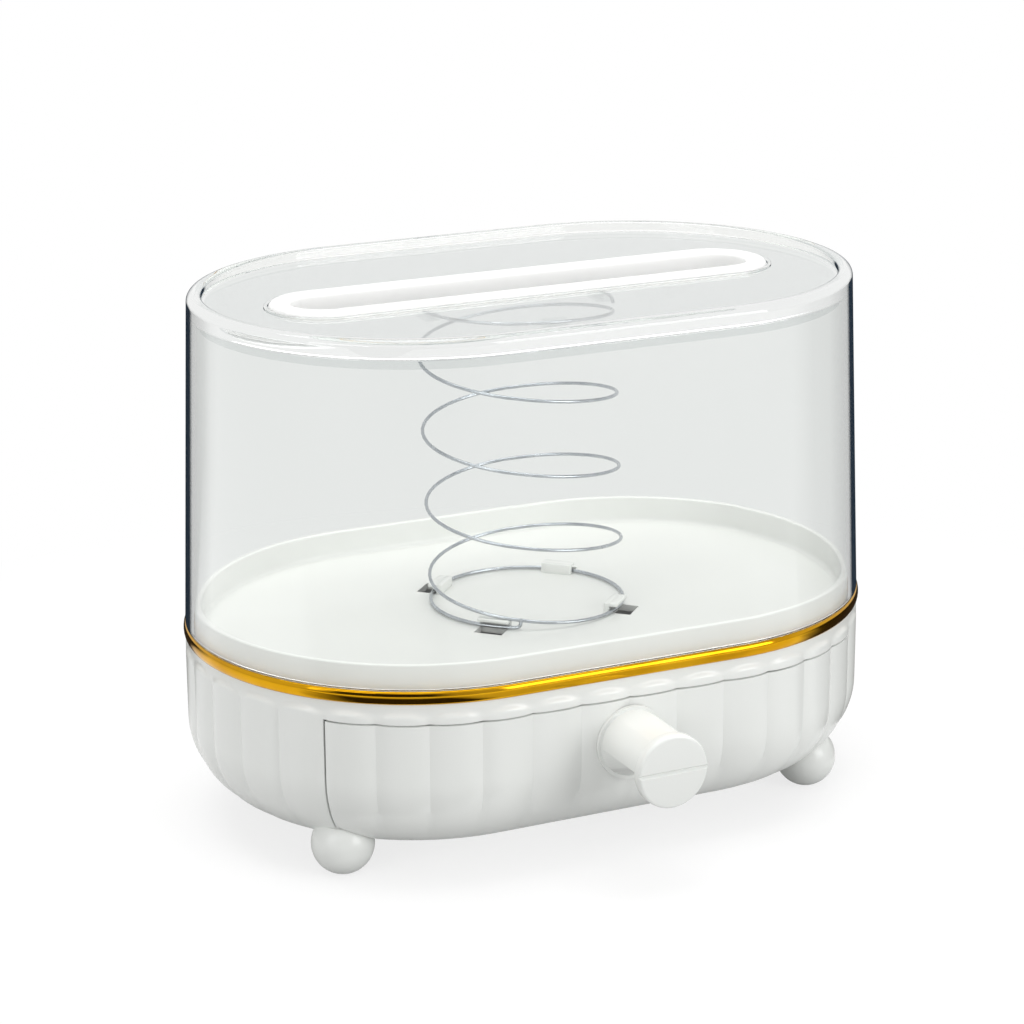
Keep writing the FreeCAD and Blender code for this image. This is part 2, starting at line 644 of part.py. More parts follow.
def add_hook(body, turn, k):
    """A post inside the wire's ring with a lip over the wire, beside a shut-off hole."""
    inner = f"({bound('spring_radius')} - {bound('hook_inset')} - {bound('hook_post')})"
    outer = f"({bound('spring_radius')} - {bound('hook_inset')})"
    lip_end = f"({bound('spring_radius')} + {bound('hook_cover')})"
    width = bound("hook_width")
    floor = bound("deck_floor_z")
    lip_z = f"{floor} + {bound('hook_room')}"
    under = f"{floor} - {bound('deck_floor')}"
    hole = new_block(body, "PartDesign::SubtractiveBox", f"shutoff_{k}", turn, outer, under,
                     bound("shutoff_width"), bound("shutoff_length"), bound("deck_floor"))
    post = new_block(body, "PartDesign::AdditiveBox", f"hook_post_{k}", turn, inner, floor,
                     bound("hook_post"), width, f"{bound('hook_room')} + {bound('hook_lip')}")
    lip = new_block(body, "PartDesign::AdditiveBox", f"hook_lip_{k}", turn, inner, lip_z,
                    f"{lip_end} - {inner}", width, bound("hook_lip"))
    return hole, post, lip


def new_block(body, kind, label, turn, start, height, length, width, rise, aside="0"):
    """A block that starts at a distance from the coil's middle and is turned about it."""
    block = body.newObject(kind, label)
    block.setExpression("Length", length)
    block.setExpression("Width", width)
    block.setExpression("Height", rise)
    block.Placement = Placement(Vector(), Rotation(Vector(0, 0, 1), turn))
    block.setExpression("Placement.Base.x", f"({start}) * cos({turn}) + ({width}) / 2 * sin({turn}) - {aside}")
    block.setExpression("Placement.Base.y", f"({start}) * sin({turn}) - ({width}) / 2 * cos({turn})")
    block.setExpression("Placement.Base.z", height)
    return block


deck_tray = make_deck_tray()


# Lift plate: a clear plate with four clips below that hold the spring's upper turn
def make_lift_plate():
    body = new_body("lift_plate")
    sketch = new_sketch(body, "plate_plan", bound("plate_z"))
    add_stadium(sketch, bound("straight_half"), bound("plate_radius"), "plate")
    pad(body, sketch, bound("plate_thick"), "plate")
    inner = f"({bound('spring_radius')} - {bound('hook_inset')} - {bound('hook_post')})"
    drop = f"({bound('hook_room')} + {bound('hook_lip')})"
    lip_length = f"{bound('hook_cover')} + {bound('hook_inset')} + {bound('hook_post')}"
    for k in range(4):
        turn = 90.0 * k
        low = f"{bound('plate_z')} - {drop}"
        new_block(body, "PartDesign::AdditiveBox", f"clip_post_{k}", turn, inner, low,
                  bound("hook_post"), bound("clip_width"), drop, bound("spring_lean"))
        new_block(body, "PartDesign::AdditiveBox", f"clip_lip_{k}", turn, inner, low,
                  lip_length, bound("clip_width"), bound("hook_lip"), bound("spring_lean"))
    return body


lift_plate = make_lift_plate()


# Clear cover: walls that lean in, open below, a top sunk inside a rim, and a long slot
def make_clear_cover():
    body = new_body("clear_cover")
    half = bound("straight_half")
    foot = new_sketch(body, "cover_foot", bound("band_top_z"))
    add_stadium(foot, half, bound("cover_radius"), "foot")
    lean = "-atan(" + bound("cover_lean") + " / " + bound("cover_height") + ")"
    block = pad(body, foot, bound("cover_height"), "cover_block")
    block.setExpression("TaperAngle", lean)
    round_edges(body, block, bound("cover_round"), "cover_edge",
                lambda edge: lies_at(edge, value("cover_top_z")))
    cavity_foot = new_sketch(body, "cavity_plan", bound("band_top_z"))
    add_stadium(cavity_foot, half, bound("cavity_radius"), "cavity")
    cavity = pocket(body, cavity_foot, bound("ceiling_z") + " - " + bound("band_top_z"), "cavity", up=True)
    cavity.setExpression("TaperAngle", lean)
    recess = new_sketch(body, "recess_plan", bound("cover_top_z"))
    add_stadium(recess, half, bound("cover_top_radius") + " - " + bound("top_rim"), "recess")
    sunk = pocket(body, recess, bound("top_recess"), "recess")
    round_edges(body, sunk, bound("recess_round"), "recess_edges",
                lambda edge: lies_at(edge, value("recess_z")) or
                (lies_at(edge, value("cover_top_z")) and reach(edge) < recess_reach()))
    seat = new_sketch(body, "seat_plan", bound("recess_z"))
    bezel_half = bound("bezel_straight_half")
    add_stadium(seat, bezel_half, bound("seat_inner") + " + " + bound("seat_width"), "outer")
    add_stadium(seat, bezel_half, bound("seat_inner"), "inner")
    pad(body, seat, bound("seat_rise"), "seat_rib")
    slot = new_sketch(body, "slot_plan", bound("recess_z"))
    add_stadium(slot, bezel_half, bound("slot_radius"), "slot")
    pocket(body, slot, bound("cover_top"), "slot")
    return body


def recess_reach():
    return value("cover_top_radius") - value("top_rim") + 0.1


clear_cover = make_clear_cover()


# Slot bezel: a rounded lip on the cover's top and a neck through its slot
def make_slot_bezel():
    body = new_body("slot_bezel")
    half = bound("bezel_straight_half")
    lip = new_sketch(body, "lip_plan", bound("recess_z"))
    add_stadium(lip, half, bound("bezel_radius"), "outer")
    add_stadium(lip, half, bound("bezel_inner"), "inner")
    raised = pad(body, lip, bound("bezel_rise"), "lip")
    top = value("recess_z") + value("bezel_rise")
    round_edges(body, raised, bound("bezel_round"), "lip_edges", lambda edge: lies_at(edge, top))
    neck = new_sketch(body, "neck_plan", bound("recess_z"))
    add_stadium(neck, half, bound("neck_radius"), "outer")
    add_stadium(neck, half, bound("bezel_inner"), "inner")
    pad(body, neck, bound("recess_z") + " - " + bound("bezel_z"), "neck", down=True)
    return body


slot_bezel = make_slot_bezel()


# Knob: turned about its own axis, which points out of the drawer front, with the
# finger recess cut round its lower half and a groove across its face
def make_drawer_knob():
    body = doc.addObject("PartDesign::Body", "drawer_knob")
    body.Label = "drawer_knob"
    body.Placement = Placement(Vector(), Rotation(Vector(1, 0, 0), 90))
    body.setExpression("Placement.Base.y", f"{bound('origin_shift')} - {bound('base_radius')}")
    body.setExpression("Placement.Base.z", bound("knob_height"))
    reach_out = bound("knob_reach")
    disc_back = f"{reach_out} - {bound('knob_disc')}"
    flange = bound("knob_flange")
    stem = bound("knob_stem_radius")
    profile = new_sketch(body, "knob_profile", role="XZ_Plane")
    add_outline(profile, [
        ("0", "0"), (bound("knob_flange_radius"), "0"), (bound("knob_flange_radius"), flange),
        (stem, flange), (stem, disc_back),
        (bound("knob_radius"), disc_back), (bound("knob_radius"), reach_out), ("0", reach_out)])
    turned = body.newObject("PartDesign::Revolution", "knob_turning")
    turned.Profile = profile
    turned.ReferenceAxis = (profile, ["V_Axis"])
    turned.Angle = 360.0
    front = value("knob_reach")
    rounded = round_edges(body, turned, bound("knob_round"), "knob_edges",
                          lambda edge: lies_at(edge, front) and reach(edge) > value("knob_stem_radius"))
    recess = new_sketch(body, "finger_profile", role="XZ_Plane")
    beyond = bound("knob_radius") + " + 1"
    depth = f"({stem} - {bound('finger_radius')})"
    add_outline(recess, [
        (bound("finger_radius"), f"{flange} + {depth} * 2"), (stem, flange), (beyond, flange),
        (beyond, disc_back), (bound("finger_radius"), f"{disc_back} - {depth} / 2")])
    groove = body.newObject("PartDesign::Groove", "finger_recess")
    groove.Profile = recess
    groove.ReferenceAxis = (recess, ["V_Axis"])
    groove.Angle = 180.0
    doc.recompute()
    if groove.Shape.CenterOfGravity.y < rounded.Shape.CenterOfGravity.y:
        groove.Reversed = True
    line = new_sketch(body, "groove_profile", role="YZ_Plane")
    half_width = bound("groove_width") + " / 2"
    add_outline(line, [
        ("-" + half_width, reach_out + " + 0.01"),
        ("0", f"{reach_out} - {bound('groove_depth')}"),
        (half_width, reach_out + " + 0.01")])
    cut = pocket(body, line, bound("knob_radius") + " * 2", "face_groove")
    cut.Midplane = True
    hole = new_sketch(body, "knob_hole", role="XY_Plane")
    add_circle(hole, None, None, bound("pilot_radius"), "hole")
    depth = f"{bound('knob_screw_length')} - {bound('box_inset')} - {bound('box_wall')} + 0.5"
    pocket(body, hole, depth, "screw_hole", up=True)
    return body


drawer_knob = make_drawer_knob()


# Ball feet: a ball with a small flat below, moulded to the base above it, with a
# hole for its screw
def make_foot(place):
    x_at, y_at = place
    centre = Vector(x_at, y_at, value("foot_z"))
    ball = Part.makeSphere(value("foot_radius"), centre)
    wide = 2 * value("foot_radius")
    ball = ball.cut(Part.makeBox(wide, wide, wide, Vector(x_at - wide / 2, y_at - wide / 2, -wide)))
    ball = ball.cut(rounded_block(-value("foot_seat"), value("band_z")))
    screw_top = value("pad_z")
    deep = value("foot_screw_length") + 0.5
    ball = ball.cut(Part.makeCylinder(value("pilot_radius"), deep, Vector(x_at, y_at, screw_top - deep)))
    return ball


for foot_name, foot_place in foot_places().items():
    new_feature(foot_name, make_foot(foot_place))


# Screws, each kind one group of separate solids
def placed_screws(length, places, direction):
    """Screws of one length at several places, their shanks pointing one way."""
    turn = Rotation(Vector(0, 0, 1), direction)
    group = []
    for place in places:
        piece = screw(length)
        piece.Placement = Placement(place, turn)
        group.append(piece)
    return Part.makeCompound(group)


foot_screw_places = [Vector(x_at, y_at, value("pad_z")) for x_at, y_at in foot_places().values()]
new_feature("foot_screws", placed_screws(value("foot_screw_length"), foot_screw_places, Vector(0, 0, -1)))

shoulder_z = value("post_z") - value("shoulder")
deck_screw_places = [Vector(sign_x * value("post_place_x"), sign_y * value("post_place_y"), shoulder_z)
                     for sign_x in (-1, 1) for sign_y in (-1, 1)]
new_feature("deck_screws", placed_screws(value("deck_screw_length"), deck_screw_places, Vector(0, 0, 1)))

inside_y = -value("base_radius") + value("box_inset") + value("box_wall")
front_places = [Vector(x_at, inside_y, value("knob_height")) for x_at in front_screw_places()]
new_feature("front_screws", placed_screws(value("front_screw_length"), front_places, Vector(0, -1, 0)))
knob_place = [Vector(0, inside_y, value("knob_height"))]
new_feature("knob_screw", placed_screws(value("knob_screw_length"), knob_place, Vector(0, -1, 0)))


# Lift spring: one wire, flat turns at its ends and a steady climb between them. It
# starts in front, left of the middle, and climbs clockwise seen from above.
START_ANGLE = 238.0


def climb(turns):
    """Height above the lower flat turn, for turns counted from where the climb starts."""
    total = value("active_turns")
    ease = value("ease_turn")
    full = value("high_wire_z") - value("low_wire_z")
    slope = full / (total - ease)
    if turns <= 0:
        return 0.0
    if turns < ease:
        return slope * turns * turns / (2 * ease)
    if turns < total - ease:
        return slope * (turns - ease / 2)
    if turns < total:
        return full - slope * (total - turns) ** 2 / (2 * ease)
    return full


def spring_point(turns):
    """A point of the wire's middle line and its direction."""
    flat = value("low_turn")
    angle = math.radians(START_ANGLE) - 2 * math.pi * turns
    radius = value("spring_radius")
    step = 1e-4
    rise = (climb(turns - flat + step) - climb(turns - flat - step)) / (2 * step)
    height = climb(turns - flat)
    lean = -value("spring_lean") / (value("high_wire_z") - value("low_wire_z"))
    out = Vector(math.cos(angle), math.sin(angle), 0) * radius
    point = out + Vector(lean * height, 0, value("low_wire_z") + height)
    direction = Vector(out.y, -out.x, 0) * 2 * math.pi + Vector(lean * rise, 0, rise)
    return point, direction.normalize()


def arc_between(start, direction, end):
    """The arc that leaves the start in a direction and reaches the end."""
    chord = end - start
    side = chord - direction * chord.dot(direction)
    side.normalize()
    radius = chord.dot(chord) / (2 * chord.dot(side))
    centre = start + side * radius
    middle = (start - centre) + (end - centre)
    middle.normalize()
    return Part.Arc(start, centre + middle * radius, end).toShape()


def two_arcs(start, start_direction, end, end_direction):
    """Two arcs that join smoothly between two points with given directions."""
    across = end - start
    both = start_direction + end_direction
    spread = 2 * (1 - start_direction.dot(end_direction))
    reach_out = (math.sqrt(across.dot(both) ** 2 + spread * across.dot(across)) - across.dot(both)) / spread
    meet = (start + start_direction * reach_out + end - end_direction * reach_out) * 0.5
    first = arc_between(start, start_direction, meet)
    meet_direction = (end - end_direction * reach_out) - (start + start_direction * reach_out)
    meet_direction.normalize()
    return [first, arc_between(meet, meet_direction, end)]


def make_lift_spring():
    total = value("low_turn") + value("active_turns") + value("high_turn")
    quarters = round(4 * total)
    stations = [total * k / quarters for k in range(quarters + 1)]
    edges = []
    for first, second in zip(stations[:-1], stations[1:]):
        edges += two_arcs(*spring_point(first), *spring_point(second))
    path = Part.Wire(edges)
    point, direction = spring_point(0.0)
    section = Part.Wire(Part.Circle(point, direction, value("wire") / 2).toShape())
    tube = path.makePipeShell([section], True, False)
    print_spring(total, tube)
    return tube


def print_spring(total, tube):
    """Prints the wire's length and the least gap between turns that pass each other."""
    count = 1200
    points = [spring_point(total * k / count)[0] for k in range(count + 1)]
    half_turn = int(count / total / 2)
    gap = min((points[j] - points[i]).Length for i in range(0, count, 2)
              for j in range(i + half_turn, count + 1, 2)) - value("wire")
    length = sum((b - a).Length for a, b in zip(points[:-1], points[1:]))
    section = math.pi * (value("wire") / 2) ** 2
    print(f"spring: wire {length:.0f} mm, least gap to itself {gap:.2f} mm,",
          f"volume over section times length {tube.Volume / section / length:.4f}")


new_feature("lift_spring", make_lift_spring())

# Checks, then one file for each piece
doc.recompute()
for item in doc.Objects:
    if "Invalid" in item.State or "Error" in item.State:
        raise RuntimeError(f"{item.Label} did not build: {item.State}")
PIECES = [item for item in doc.Objects if item.TypeId in ("PartDesign::Body", "Part::Feature")]
for piece in PIECES:
    if piece.Shape.isNull() or not piece.Shape.isValid():
        raise RuntimeError(f"{piece.Label} has no sound shape")
os.makedirs("parts", exist_ok=True)
for piece in PIECES:
    piece.Shape.exportStep(os.path.join("parts", piece.Label + ".step"))
    print(f"{piece.Label}: {len(piece.Shape.Solids)} solid(s), {piece.Shape.Volume / 1000:.2f} cm3")
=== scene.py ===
import math

import bmesh
import bpy
from mathutils import Matrix, Vector


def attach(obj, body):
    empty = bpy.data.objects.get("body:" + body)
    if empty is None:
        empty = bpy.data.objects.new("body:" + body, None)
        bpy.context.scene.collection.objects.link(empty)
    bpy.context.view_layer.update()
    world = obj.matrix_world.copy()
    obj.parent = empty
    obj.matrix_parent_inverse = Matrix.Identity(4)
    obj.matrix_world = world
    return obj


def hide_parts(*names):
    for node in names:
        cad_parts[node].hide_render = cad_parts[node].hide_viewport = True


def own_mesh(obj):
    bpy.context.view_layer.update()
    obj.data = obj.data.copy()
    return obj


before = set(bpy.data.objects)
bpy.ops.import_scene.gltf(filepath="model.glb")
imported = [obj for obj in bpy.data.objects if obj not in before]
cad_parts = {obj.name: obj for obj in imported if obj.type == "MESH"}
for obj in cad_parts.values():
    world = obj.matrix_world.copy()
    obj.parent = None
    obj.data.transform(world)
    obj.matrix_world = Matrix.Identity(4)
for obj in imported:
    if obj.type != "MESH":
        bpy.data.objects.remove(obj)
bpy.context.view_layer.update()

# Base shell. A cup of white ABS, injection moulded in one piece. Its plan is two half
# circles joined by straight sides, and convex flutes run down its wall and round under it.
# The drawer front is cut out of the same form, so both come from one fluted wall.
MM = 0.001
MIDDLE = Vector((0, 13.6 * MM, 0))
STRAIGHT_HALF = 37.0 * MM
BASE_RADIUS = 72.6 * MM
BASE_TOP = 59.5 * MM
BASE_BOTTOM = 9.0 * MM
BASE_ROUND = 25.0 * MM
BASE_WALL = 2.6 * MM
FLUTES = 38
FLUTE_PITCH = (4 * STRAIGHT_HALF + 2 * math.pi * BASE_RADIUS) / FLUTES
FLUTE_DEPTH = 1.0 * MM
FLUTE_SWEEP, FLUTE_FADE = 64, 40
FLUTE_STRIP, FLUTE_HEAD, HEAD_BLEND = 2.2, 2.6, 1.8
CROWN_POWER = 2.6
COLUMNS_PER_FLUTE = 10
ROW_STEP, FINE_ROWS = 0.5, 24


def plan_place(along, half, radius):
    """Where a profile stands, this far round the plan from the middle of its front."""
    turn = math.pi * radius
    along %= 4 * half + 2 * turn
    if along < half:
        foot, angle = along, -math.pi / 2
    elif along < half + turn:
        foot, angle = half, -math.pi / 2 + (along - half) / radius
    elif along < 3 * half + turn:
        foot, angle = 2 * half + turn - along, math.pi / 2
    elif along < 3 * half + 2 * turn:
        foot, angle = -half, math.pi / 2 + (along - 3 * half - turn) / radius
    else:
        foot, angle = along - 4 * half - 2 * turn, -math.pi / 2
    return Matrix.Translation(MIDDLE + Vector((foot, 0, 0))) @ Matrix.Rotation(angle, 4, "Z")


def verts_in(made):
    """The vertices among the items that an operator gives back."""
    return [item for item in made if isinstance(item, bmesh.types.BMVert)]


def edges_in(made):
    """The edges among the items that an operator gives back."""
    return [item for item in made if isinstance(item, bmesh.types.BMEdge)]


def carry_round(mesh, profile, half, radius, stations, closed=True):
    """Carries a profile of (distance out, height) round the plan, and joins its ends."""
    last = plan_place(stations[0], half, radius)
    points = [mesh.verts.new(last @ Vector((out, 0, height))) for out, height in profile]
    pairs = list(zip(points, points[1:])) + ([(points[-1], points[0])] if closed else [])
    edges = [mesh.edges.new(pair) for pair in pairs]
    for along in stations[1:] + stations[:1]:
        place = plan_place(along, half, radius)
        made = bmesh.ops.extrude_edge_only(mesh, edges=edges)["geom"]
        points = verts_in(made)
        bmesh.ops.transform(mesh, matrix=place @ last.inverted(), verts=points)
        moved = set(points)
        edges = [edge for edge in edges_in(made) if set(edge.verts) <= moved]
        last = place
    bmesh.ops.remove_doubles(mesh, verts=mesh.verts[:], dist=0.001 * MM)


def smooth_stations(half, radius, steps):
    """Even steps round the two ends of a plan, with none on its straight sides."""
    turn = math.pi * radius
    right = [half + turn * k / steps for k in range(steps + 1)]
    left = [3 * half + turn + turn * k / steps for k in range(steps + 1)]
    return right + left


def quarter(centre_out, centre_height, radius, start, end, steps=6):
    """Points of a round on a profile, between two angles in degrees."""
    angles = [math.radians(start + (end - start) * k / steps) for k in range(steps + 1)]
    return [(centre_out + radius * math.cos(a), centre_height + radius * math.sin(a)) for a in angles]


def rim(mesh, half, out, height):
    """The open edges of a mesh that lie on the plan at a distance out and a height."""
    def lies_there(vert):
        offset = vert.co - MIDDLE
        across = Vector((offset.x - max(-half, min(half, offset.x)), offset.y))
        return abs(across.length - out) < 0.02 * MM and abs(offset.z - height) < 0.02 * MM
    return [edge for edge in mesh.edges if edge.is_boundary and all(map(lies_there, edge.verts))]


def new_piece(name, mesh, material=None):
    """An object from a bmesh, its faces smooth and pointing outwards."""
    bmesh.ops.recalc_face_normals(mesh, faces=mesh.faces[:])
    data = bpy.data.meshes.new(name)
    mesh.to_mesh(data)
    mesh.free()
    piece = bpy.data.objects.new(name, data)
    bpy.context.scene.collection.objects.link(piece)
    if material:
        data.materials.append(material)
    return piece


def settle(piece, sharp=30):
    """Makes a piece's modifiers part of its mesh, and shades it smooth up to an angle."""
    found = piece.evaluated_get(bpy.context.evaluated_depsgraph_get())
    piece.data = bpy.data.meshes.new_from_object(found)
    piece.modifiers.clear()
    piece.data.shade_smooth()
    piece.data.set_sharp_from_angle(angle=math.radians(sharp))
    return piece


def combine(piece, other, operation):
    """Cuts a piece with another, or keeps what they share. The other one is used up."""
    cut = piece.modifiers.new("cut", "BOOLEAN")
    cut.solver = "EXACT"
    cut.operation = operation
    cut.object = other
    settle(piece)
    bpy.data.objects.remove(other)


def round_off(piece, width, angle=40, segments=3, sharp=30):
    """Breaks a piece's sharp edges, and lets its broad faces rule the shading."""
    bevel = piece.modifiers.new("bevel", "BEVEL")
    bevel.width = width
    bevel.segments = segments
    bevel.limit_method = "ANGLE"
    bevel.angle_limit = math.radians(angle)
    settle(piece, sharp)


def flute_shape(mesh):
    """Presses the grooves between the flutes into the plain wall."""
    turn_height = BASE_BOTTOM + BASE_ROUND
    for vert in mesh.verts:
        offset = vert.co - MIDDLE
        foot = max(-STRAIGHT_HALF, min(STRAIGHT_HALF, offset.x))
        outward = Vector((offset.x - foot, offset.y, 0))
        out = outward.length
        outward.normalize()
        angle = math.atan2(outward.x, -outward.y)
        if abs(offset.x) > STRAIGHT_HALF:
            along = math.copysign(STRAIGHT_HALF, offset.x) + angle * BASE_RADIUS
        elif offset.y < 0:
            along = offset.x
        else:
            along = 2 * STRAIGHT_HALF + math.pi * BASE_RADIUS - offset.x
        share = abs(2 * ((along / FLUTE_PITCH) % 1.0) - 1)
        direction = outward
        fade = 1.0
        depth_in = BASE_RADIUS - out
        if offset.z < turn_height:
            centre = outward * (BASE_RADIUS - BASE_ROUND) + Vector((0, 0, turn_height))
            direction = outward * out + Vector((0, 0, offset.z)) - centre
            depth_in = BASE_ROUND - direction.length
            direction.normalize()
            swept = math.degrees(math.asin(min(1.0, max(0.0, -direction.z))))
            fade = min(1.0, max(0.0, (FLUTE_SWEEP - swept) / FLUTE_FADE))
        if depth_in > BASE_WALL / 2:
            continue
        arch = FLUTE_HEAD * (1 - math.sqrt(max(0.0, 1 - share ** 2)))
        head = (BASE_TOP - offset.z) / MM - FLUTE_STRIP - arch
        rise = min(1.0, max(0.0, head / HEAD_BLEND))
        rise = rise * rise * (3 - 2 * rise)
        crown = rise * (1 - share ** CROWN_POWER)
        vert.co -= direction * FLUTE_DEPTH * (1 - crown) * fade


def plain_wall_profile(inset, top):
    """The base's outline in section, drawn in by an inset, from its top to its flat underside."""
    radius = BASE_RADIUS - inset
    turn = BASE_BOTTOM + BASE_ROUND
    rows_down = range(int((top - turn) / MM / ROW_STEP))
    heights = [top - ROW_STEP * MM * k for k in rows_down if k < FINE_ROWS or k % 5 == 0]
    rows = [(radius, height) for height in heights]
    return rows + quarter(BASE_RADIUS - BASE_ROUND, turn, BASE_ROUND - inset, 0, -90, 22)


def fluted_cup(name):
    """The whole fluted cup, with its wall's thickness and its floor."""
    mesh = bmesh.new()
    stations = [FLUTE_PITCH * k / COLUMNS_PER_FLUTE for k in range(FLUTES * COLUMNS_PER_FLUTE)]
    section = list(reversed(plain_wall_profile(0, BASE_TOP))) + plain_wall_profile(BASE_WALL, BASE_TOP)
    carry_round(mesh, section, STRAIGHT_HALF, BASE_RADIUS, stations, closed=False)
    flute_shape(mesh)
    for inset in (0, BASE_WALL):
        floor_edge = rim(mesh, STRAIGHT_HALF, BASE_RADIUS - BASE_ROUND, BASE_BOTTOM + inset)
        bmesh.ops.triangle_fill(mesh, use_beauty=True, use_dissolve=False, edges=floor_edge)
    return settle(new_piece(name, mesh))


FRONT_TOP = 53.0 * MM
FRONT_RETURN = 22.0 * MM
FRONT_GAP = 0.6 * MM
FRONT_FLUTES = 6
FRONT_ANGLE = (FRONT_FLUTES * FLUTE_PITCH - STRAIGHT_HALF) / BASE_RADIUS
FOOT_MIDDLE = 9.3 * MM
FOOT_RADIUS = 9.6 * MM
PAD_LANE, FRONT_LANE, BALL_LANE = 6.0 * MM, 6.5 * MM, 10.1 * MM
FOOT_PLACES = {
    "foot_front_left": (-79.8 * MM, -40.0 * MM),
    "foot_front_right": (79.8 * MM, -40.0 * MM),
    "foot_back_left": (-79.8 * MM, 40.0 * MM),
    "foot_back_right": (79.8 * MM, 40.0 * MM),
}


def front_region(gap):
    """The space of the drawer front, as a block: it shows where the cup is cut."""
    mesh = bmesh.new()
    inner = BASE_RADIUS - FRONT_RETURN + gap
    reach = 2 * BASE_RADIUS
    outward = Vector((math.sin(FRONT_ANGLE), -math.cos(FRONT_ANGLE), 0))
    aside = Vector((-math.cos(FRONT_ANGLE), -math.sin(FRONT_ANGLE), 0)) * gap
    steps = 16
    outline = [Vector((STRAIGHT_HALF, 0, 0)) + outward * reach + aside]
    for k in range(steps + 1):
        angle = FRONT_ANGLE * (1 - k / steps)
        at_ends = aside * (1 - k / steps)
        on_arc = Vector((STRAIGHT_HALF + inner * math.sin(angle), -inner * math.cos(angle), 0))
        outline.append(on_arc + at_ends)
    outline += [Vector((-point.x, point.y, 0)) for point in reversed(outline)]
    floor = mesh.faces.new([mesh.verts.new(point + MIDDLE) for point in outline])
    block = bmesh.ops.extrude_face_region(mesh, geom=[floor])["geom"]
    top = verts_in(block)
    bmesh.ops.translate(mesh, vec=(0, 0, FRONT_TOP - gap), verts=top)
    return new_piece("front_region", mesh)


def foot_lane(place, radius, low, high):
    """A round column over a front foot, drawn out backwards: the way the drawer front passes it."""
    mesh = bmesh.new()
    x_at, y_at = place
    ring = []
    for k in range(25):
        angle = math.pi + math.pi * k / 24
        ring.append(Vector((x_at + radius * math.cos(angle), y_at + radius * math.sin(angle), low)))
    ring += [Vector((x_at + radius, 0, low)), Vector((x_at - radius, 0, low))]
    floor = mesh.faces.new([mesh.verts.new(point + MIDDLE) for point in ring])
    block = bmesh.ops.extrude_face_region(mesh, geom=[floor])["geom"]
    top = verts_in(block)
    bmesh.ops.translate(mesh, vec=(0, 0, high - low), verts=top)
    return new_piece("foot_lane", mesh)


def ball_lane(place, radius):
    """The room that the drawer front leaves round a ball foot, drawn out backwards."""
    mesh = bmesh.new()
    x_at, y_at = place
    centre = Vector((x_at, y_at, FOOT_MIDDLE)) + MIDDLE
    bmesh.ops.create_uvsphere(mesh, u_segments=48, v_segments=48, radius=radius,
                              matrix=Matrix.Translation(centre) @ Matrix.Rotation(math.pi / 2, 4, "X"))
    behind = [vert for vert in mesh.verts if vert.co.y > centre.y + 0.01 * MM]
    bmesh.ops.delete(mesh, geom=behind, context="VERTS")
    waist = [edge for edge in mesh.edges if edge.is_boundary]
    made = bmesh.ops.extrude_edge_only(mesh, edges=waist)["geom"]
    moved = verts_in(made)
    bmesh.ops.translate(mesh, vec=(0, -y_at, 0), verts=moved)
    bmesh.ops.holes_fill(mesh, edges=[edge for edge in mesh.edges if edge.is_boundary])
    return new_piece("ball_lane", mesh)


base_shell = fluted_cup("base_shell_fluted")
drawer_front = base_shell.copy()
drawer_front.data = base_shell.data.copy()
drawer_front.name = "drawer_front_fluted"
bpy.context.scene.collection.objects.link(drawer_front)

opening = front_region(-FRONT_GAP / 2)
for foot, place in FOOT_PLACES.items():
    if "front" in foot:
        combine(opening, foot_lane(place, PAD_LANE, -1 * MM, 60 * MM), "DIFFERENCE")
combine(base_shell, opening, "DIFFERENCE")


def hex_colour(text):
    """A colour written as sRGB hex, as linear values."""
    levels = [int(text[k:k + 2], 16) / 255 for k in (1, 3, 5)]
    linear = [level / 12.92 if level <= 0.04045 else ((level + 0.055) / 1.055) ** 2.4 for level in levels]
    return (*linear, 1.0)


def new_material(name):
    """An empty material and its node tree."""
    material = bpy.data.materials.new(name)
    material.use_nodes = True
    material.node_tree.nodes.clear()
    return material, material.node_tree


def add_node(tree, kind, inputs=None, stops=None, **settings):
    """Adds a node with its settings, its inputs as values or links, and a ramp's stops."""
    node = tree.nodes.new(kind)
    for name, setting in settings.items():
        setattr(node, name, setting)
    for socket, source in (inputs or {}).items():
        if isinstance(source, bpy.types.NodeSocket):
            tree.links.new(source, node.inputs[socket])
        else:
            node.inputs[socket].default_value = source
    if stops:
        elements = node.color_ramp.elements
        while len(elements) < len(stops):
            elements.new(0.5)
        for element, (position, colour) in zip(elements, stops):
            element.position = position
            element.color = colour
    return node


# Glossy ABS, moulded in a polished tool: a clean white with the faint waviness and sink of
# moulded plastic, which softens its reflections a little from place to place.
def glossy_abs(name, colour, rough, cell=45.0 * MM, peel=0.9 * MM):
    material, tree = new_material(name)
    place = add_node(tree, "ShaderNodeTexCoord").outputs["Object"]
    patches = add_node(tree, "ShaderNodeTexNoise", {"Vector": place, "Scale": 1 / cell, "Detail": 2.0})
    tone = add_node(tree, "ShaderNodeValToRGB", {"Fac": patches.outputs["Fac"]}, stops=[
        (0.3, [channel * 0.985 for channel in hex_colour(colour)[:3]] + [1.0]),
        (0.7, hex_colour(colour))])
    gloss = add_node(tree, "ShaderNodeMapRange", {
        "Value": patches.outputs["Fac"], "From Min": 0.3, "From Max": 0.7,
        "To Min": rough * 0.94, "To Max": rough * 1.08})
    fine = add_node(tree, "ShaderNodeTexNoise", {"Vector": place, "Scale": 1 / peel, "Detail": 1.0})
    skin = add_node(tree, "ShaderNodeBump", {
        "Height": fine.outputs["Fac"], "Strength": 0.02, "Distance": 0.03 * MM})
    surface = add_node(tree, "ShaderNodeBsdfPrincipled", {
        "Base Color": tone.outputs["Color"], "Roughness": gloss.outputs["Result"],
        "Normal": skin.outputs["Normal"], "IOR": 1.53})
    add_node(tree, "ShaderNodeOutputMaterial", {"Surface": surface.outputs["BSDF"]})
    return material


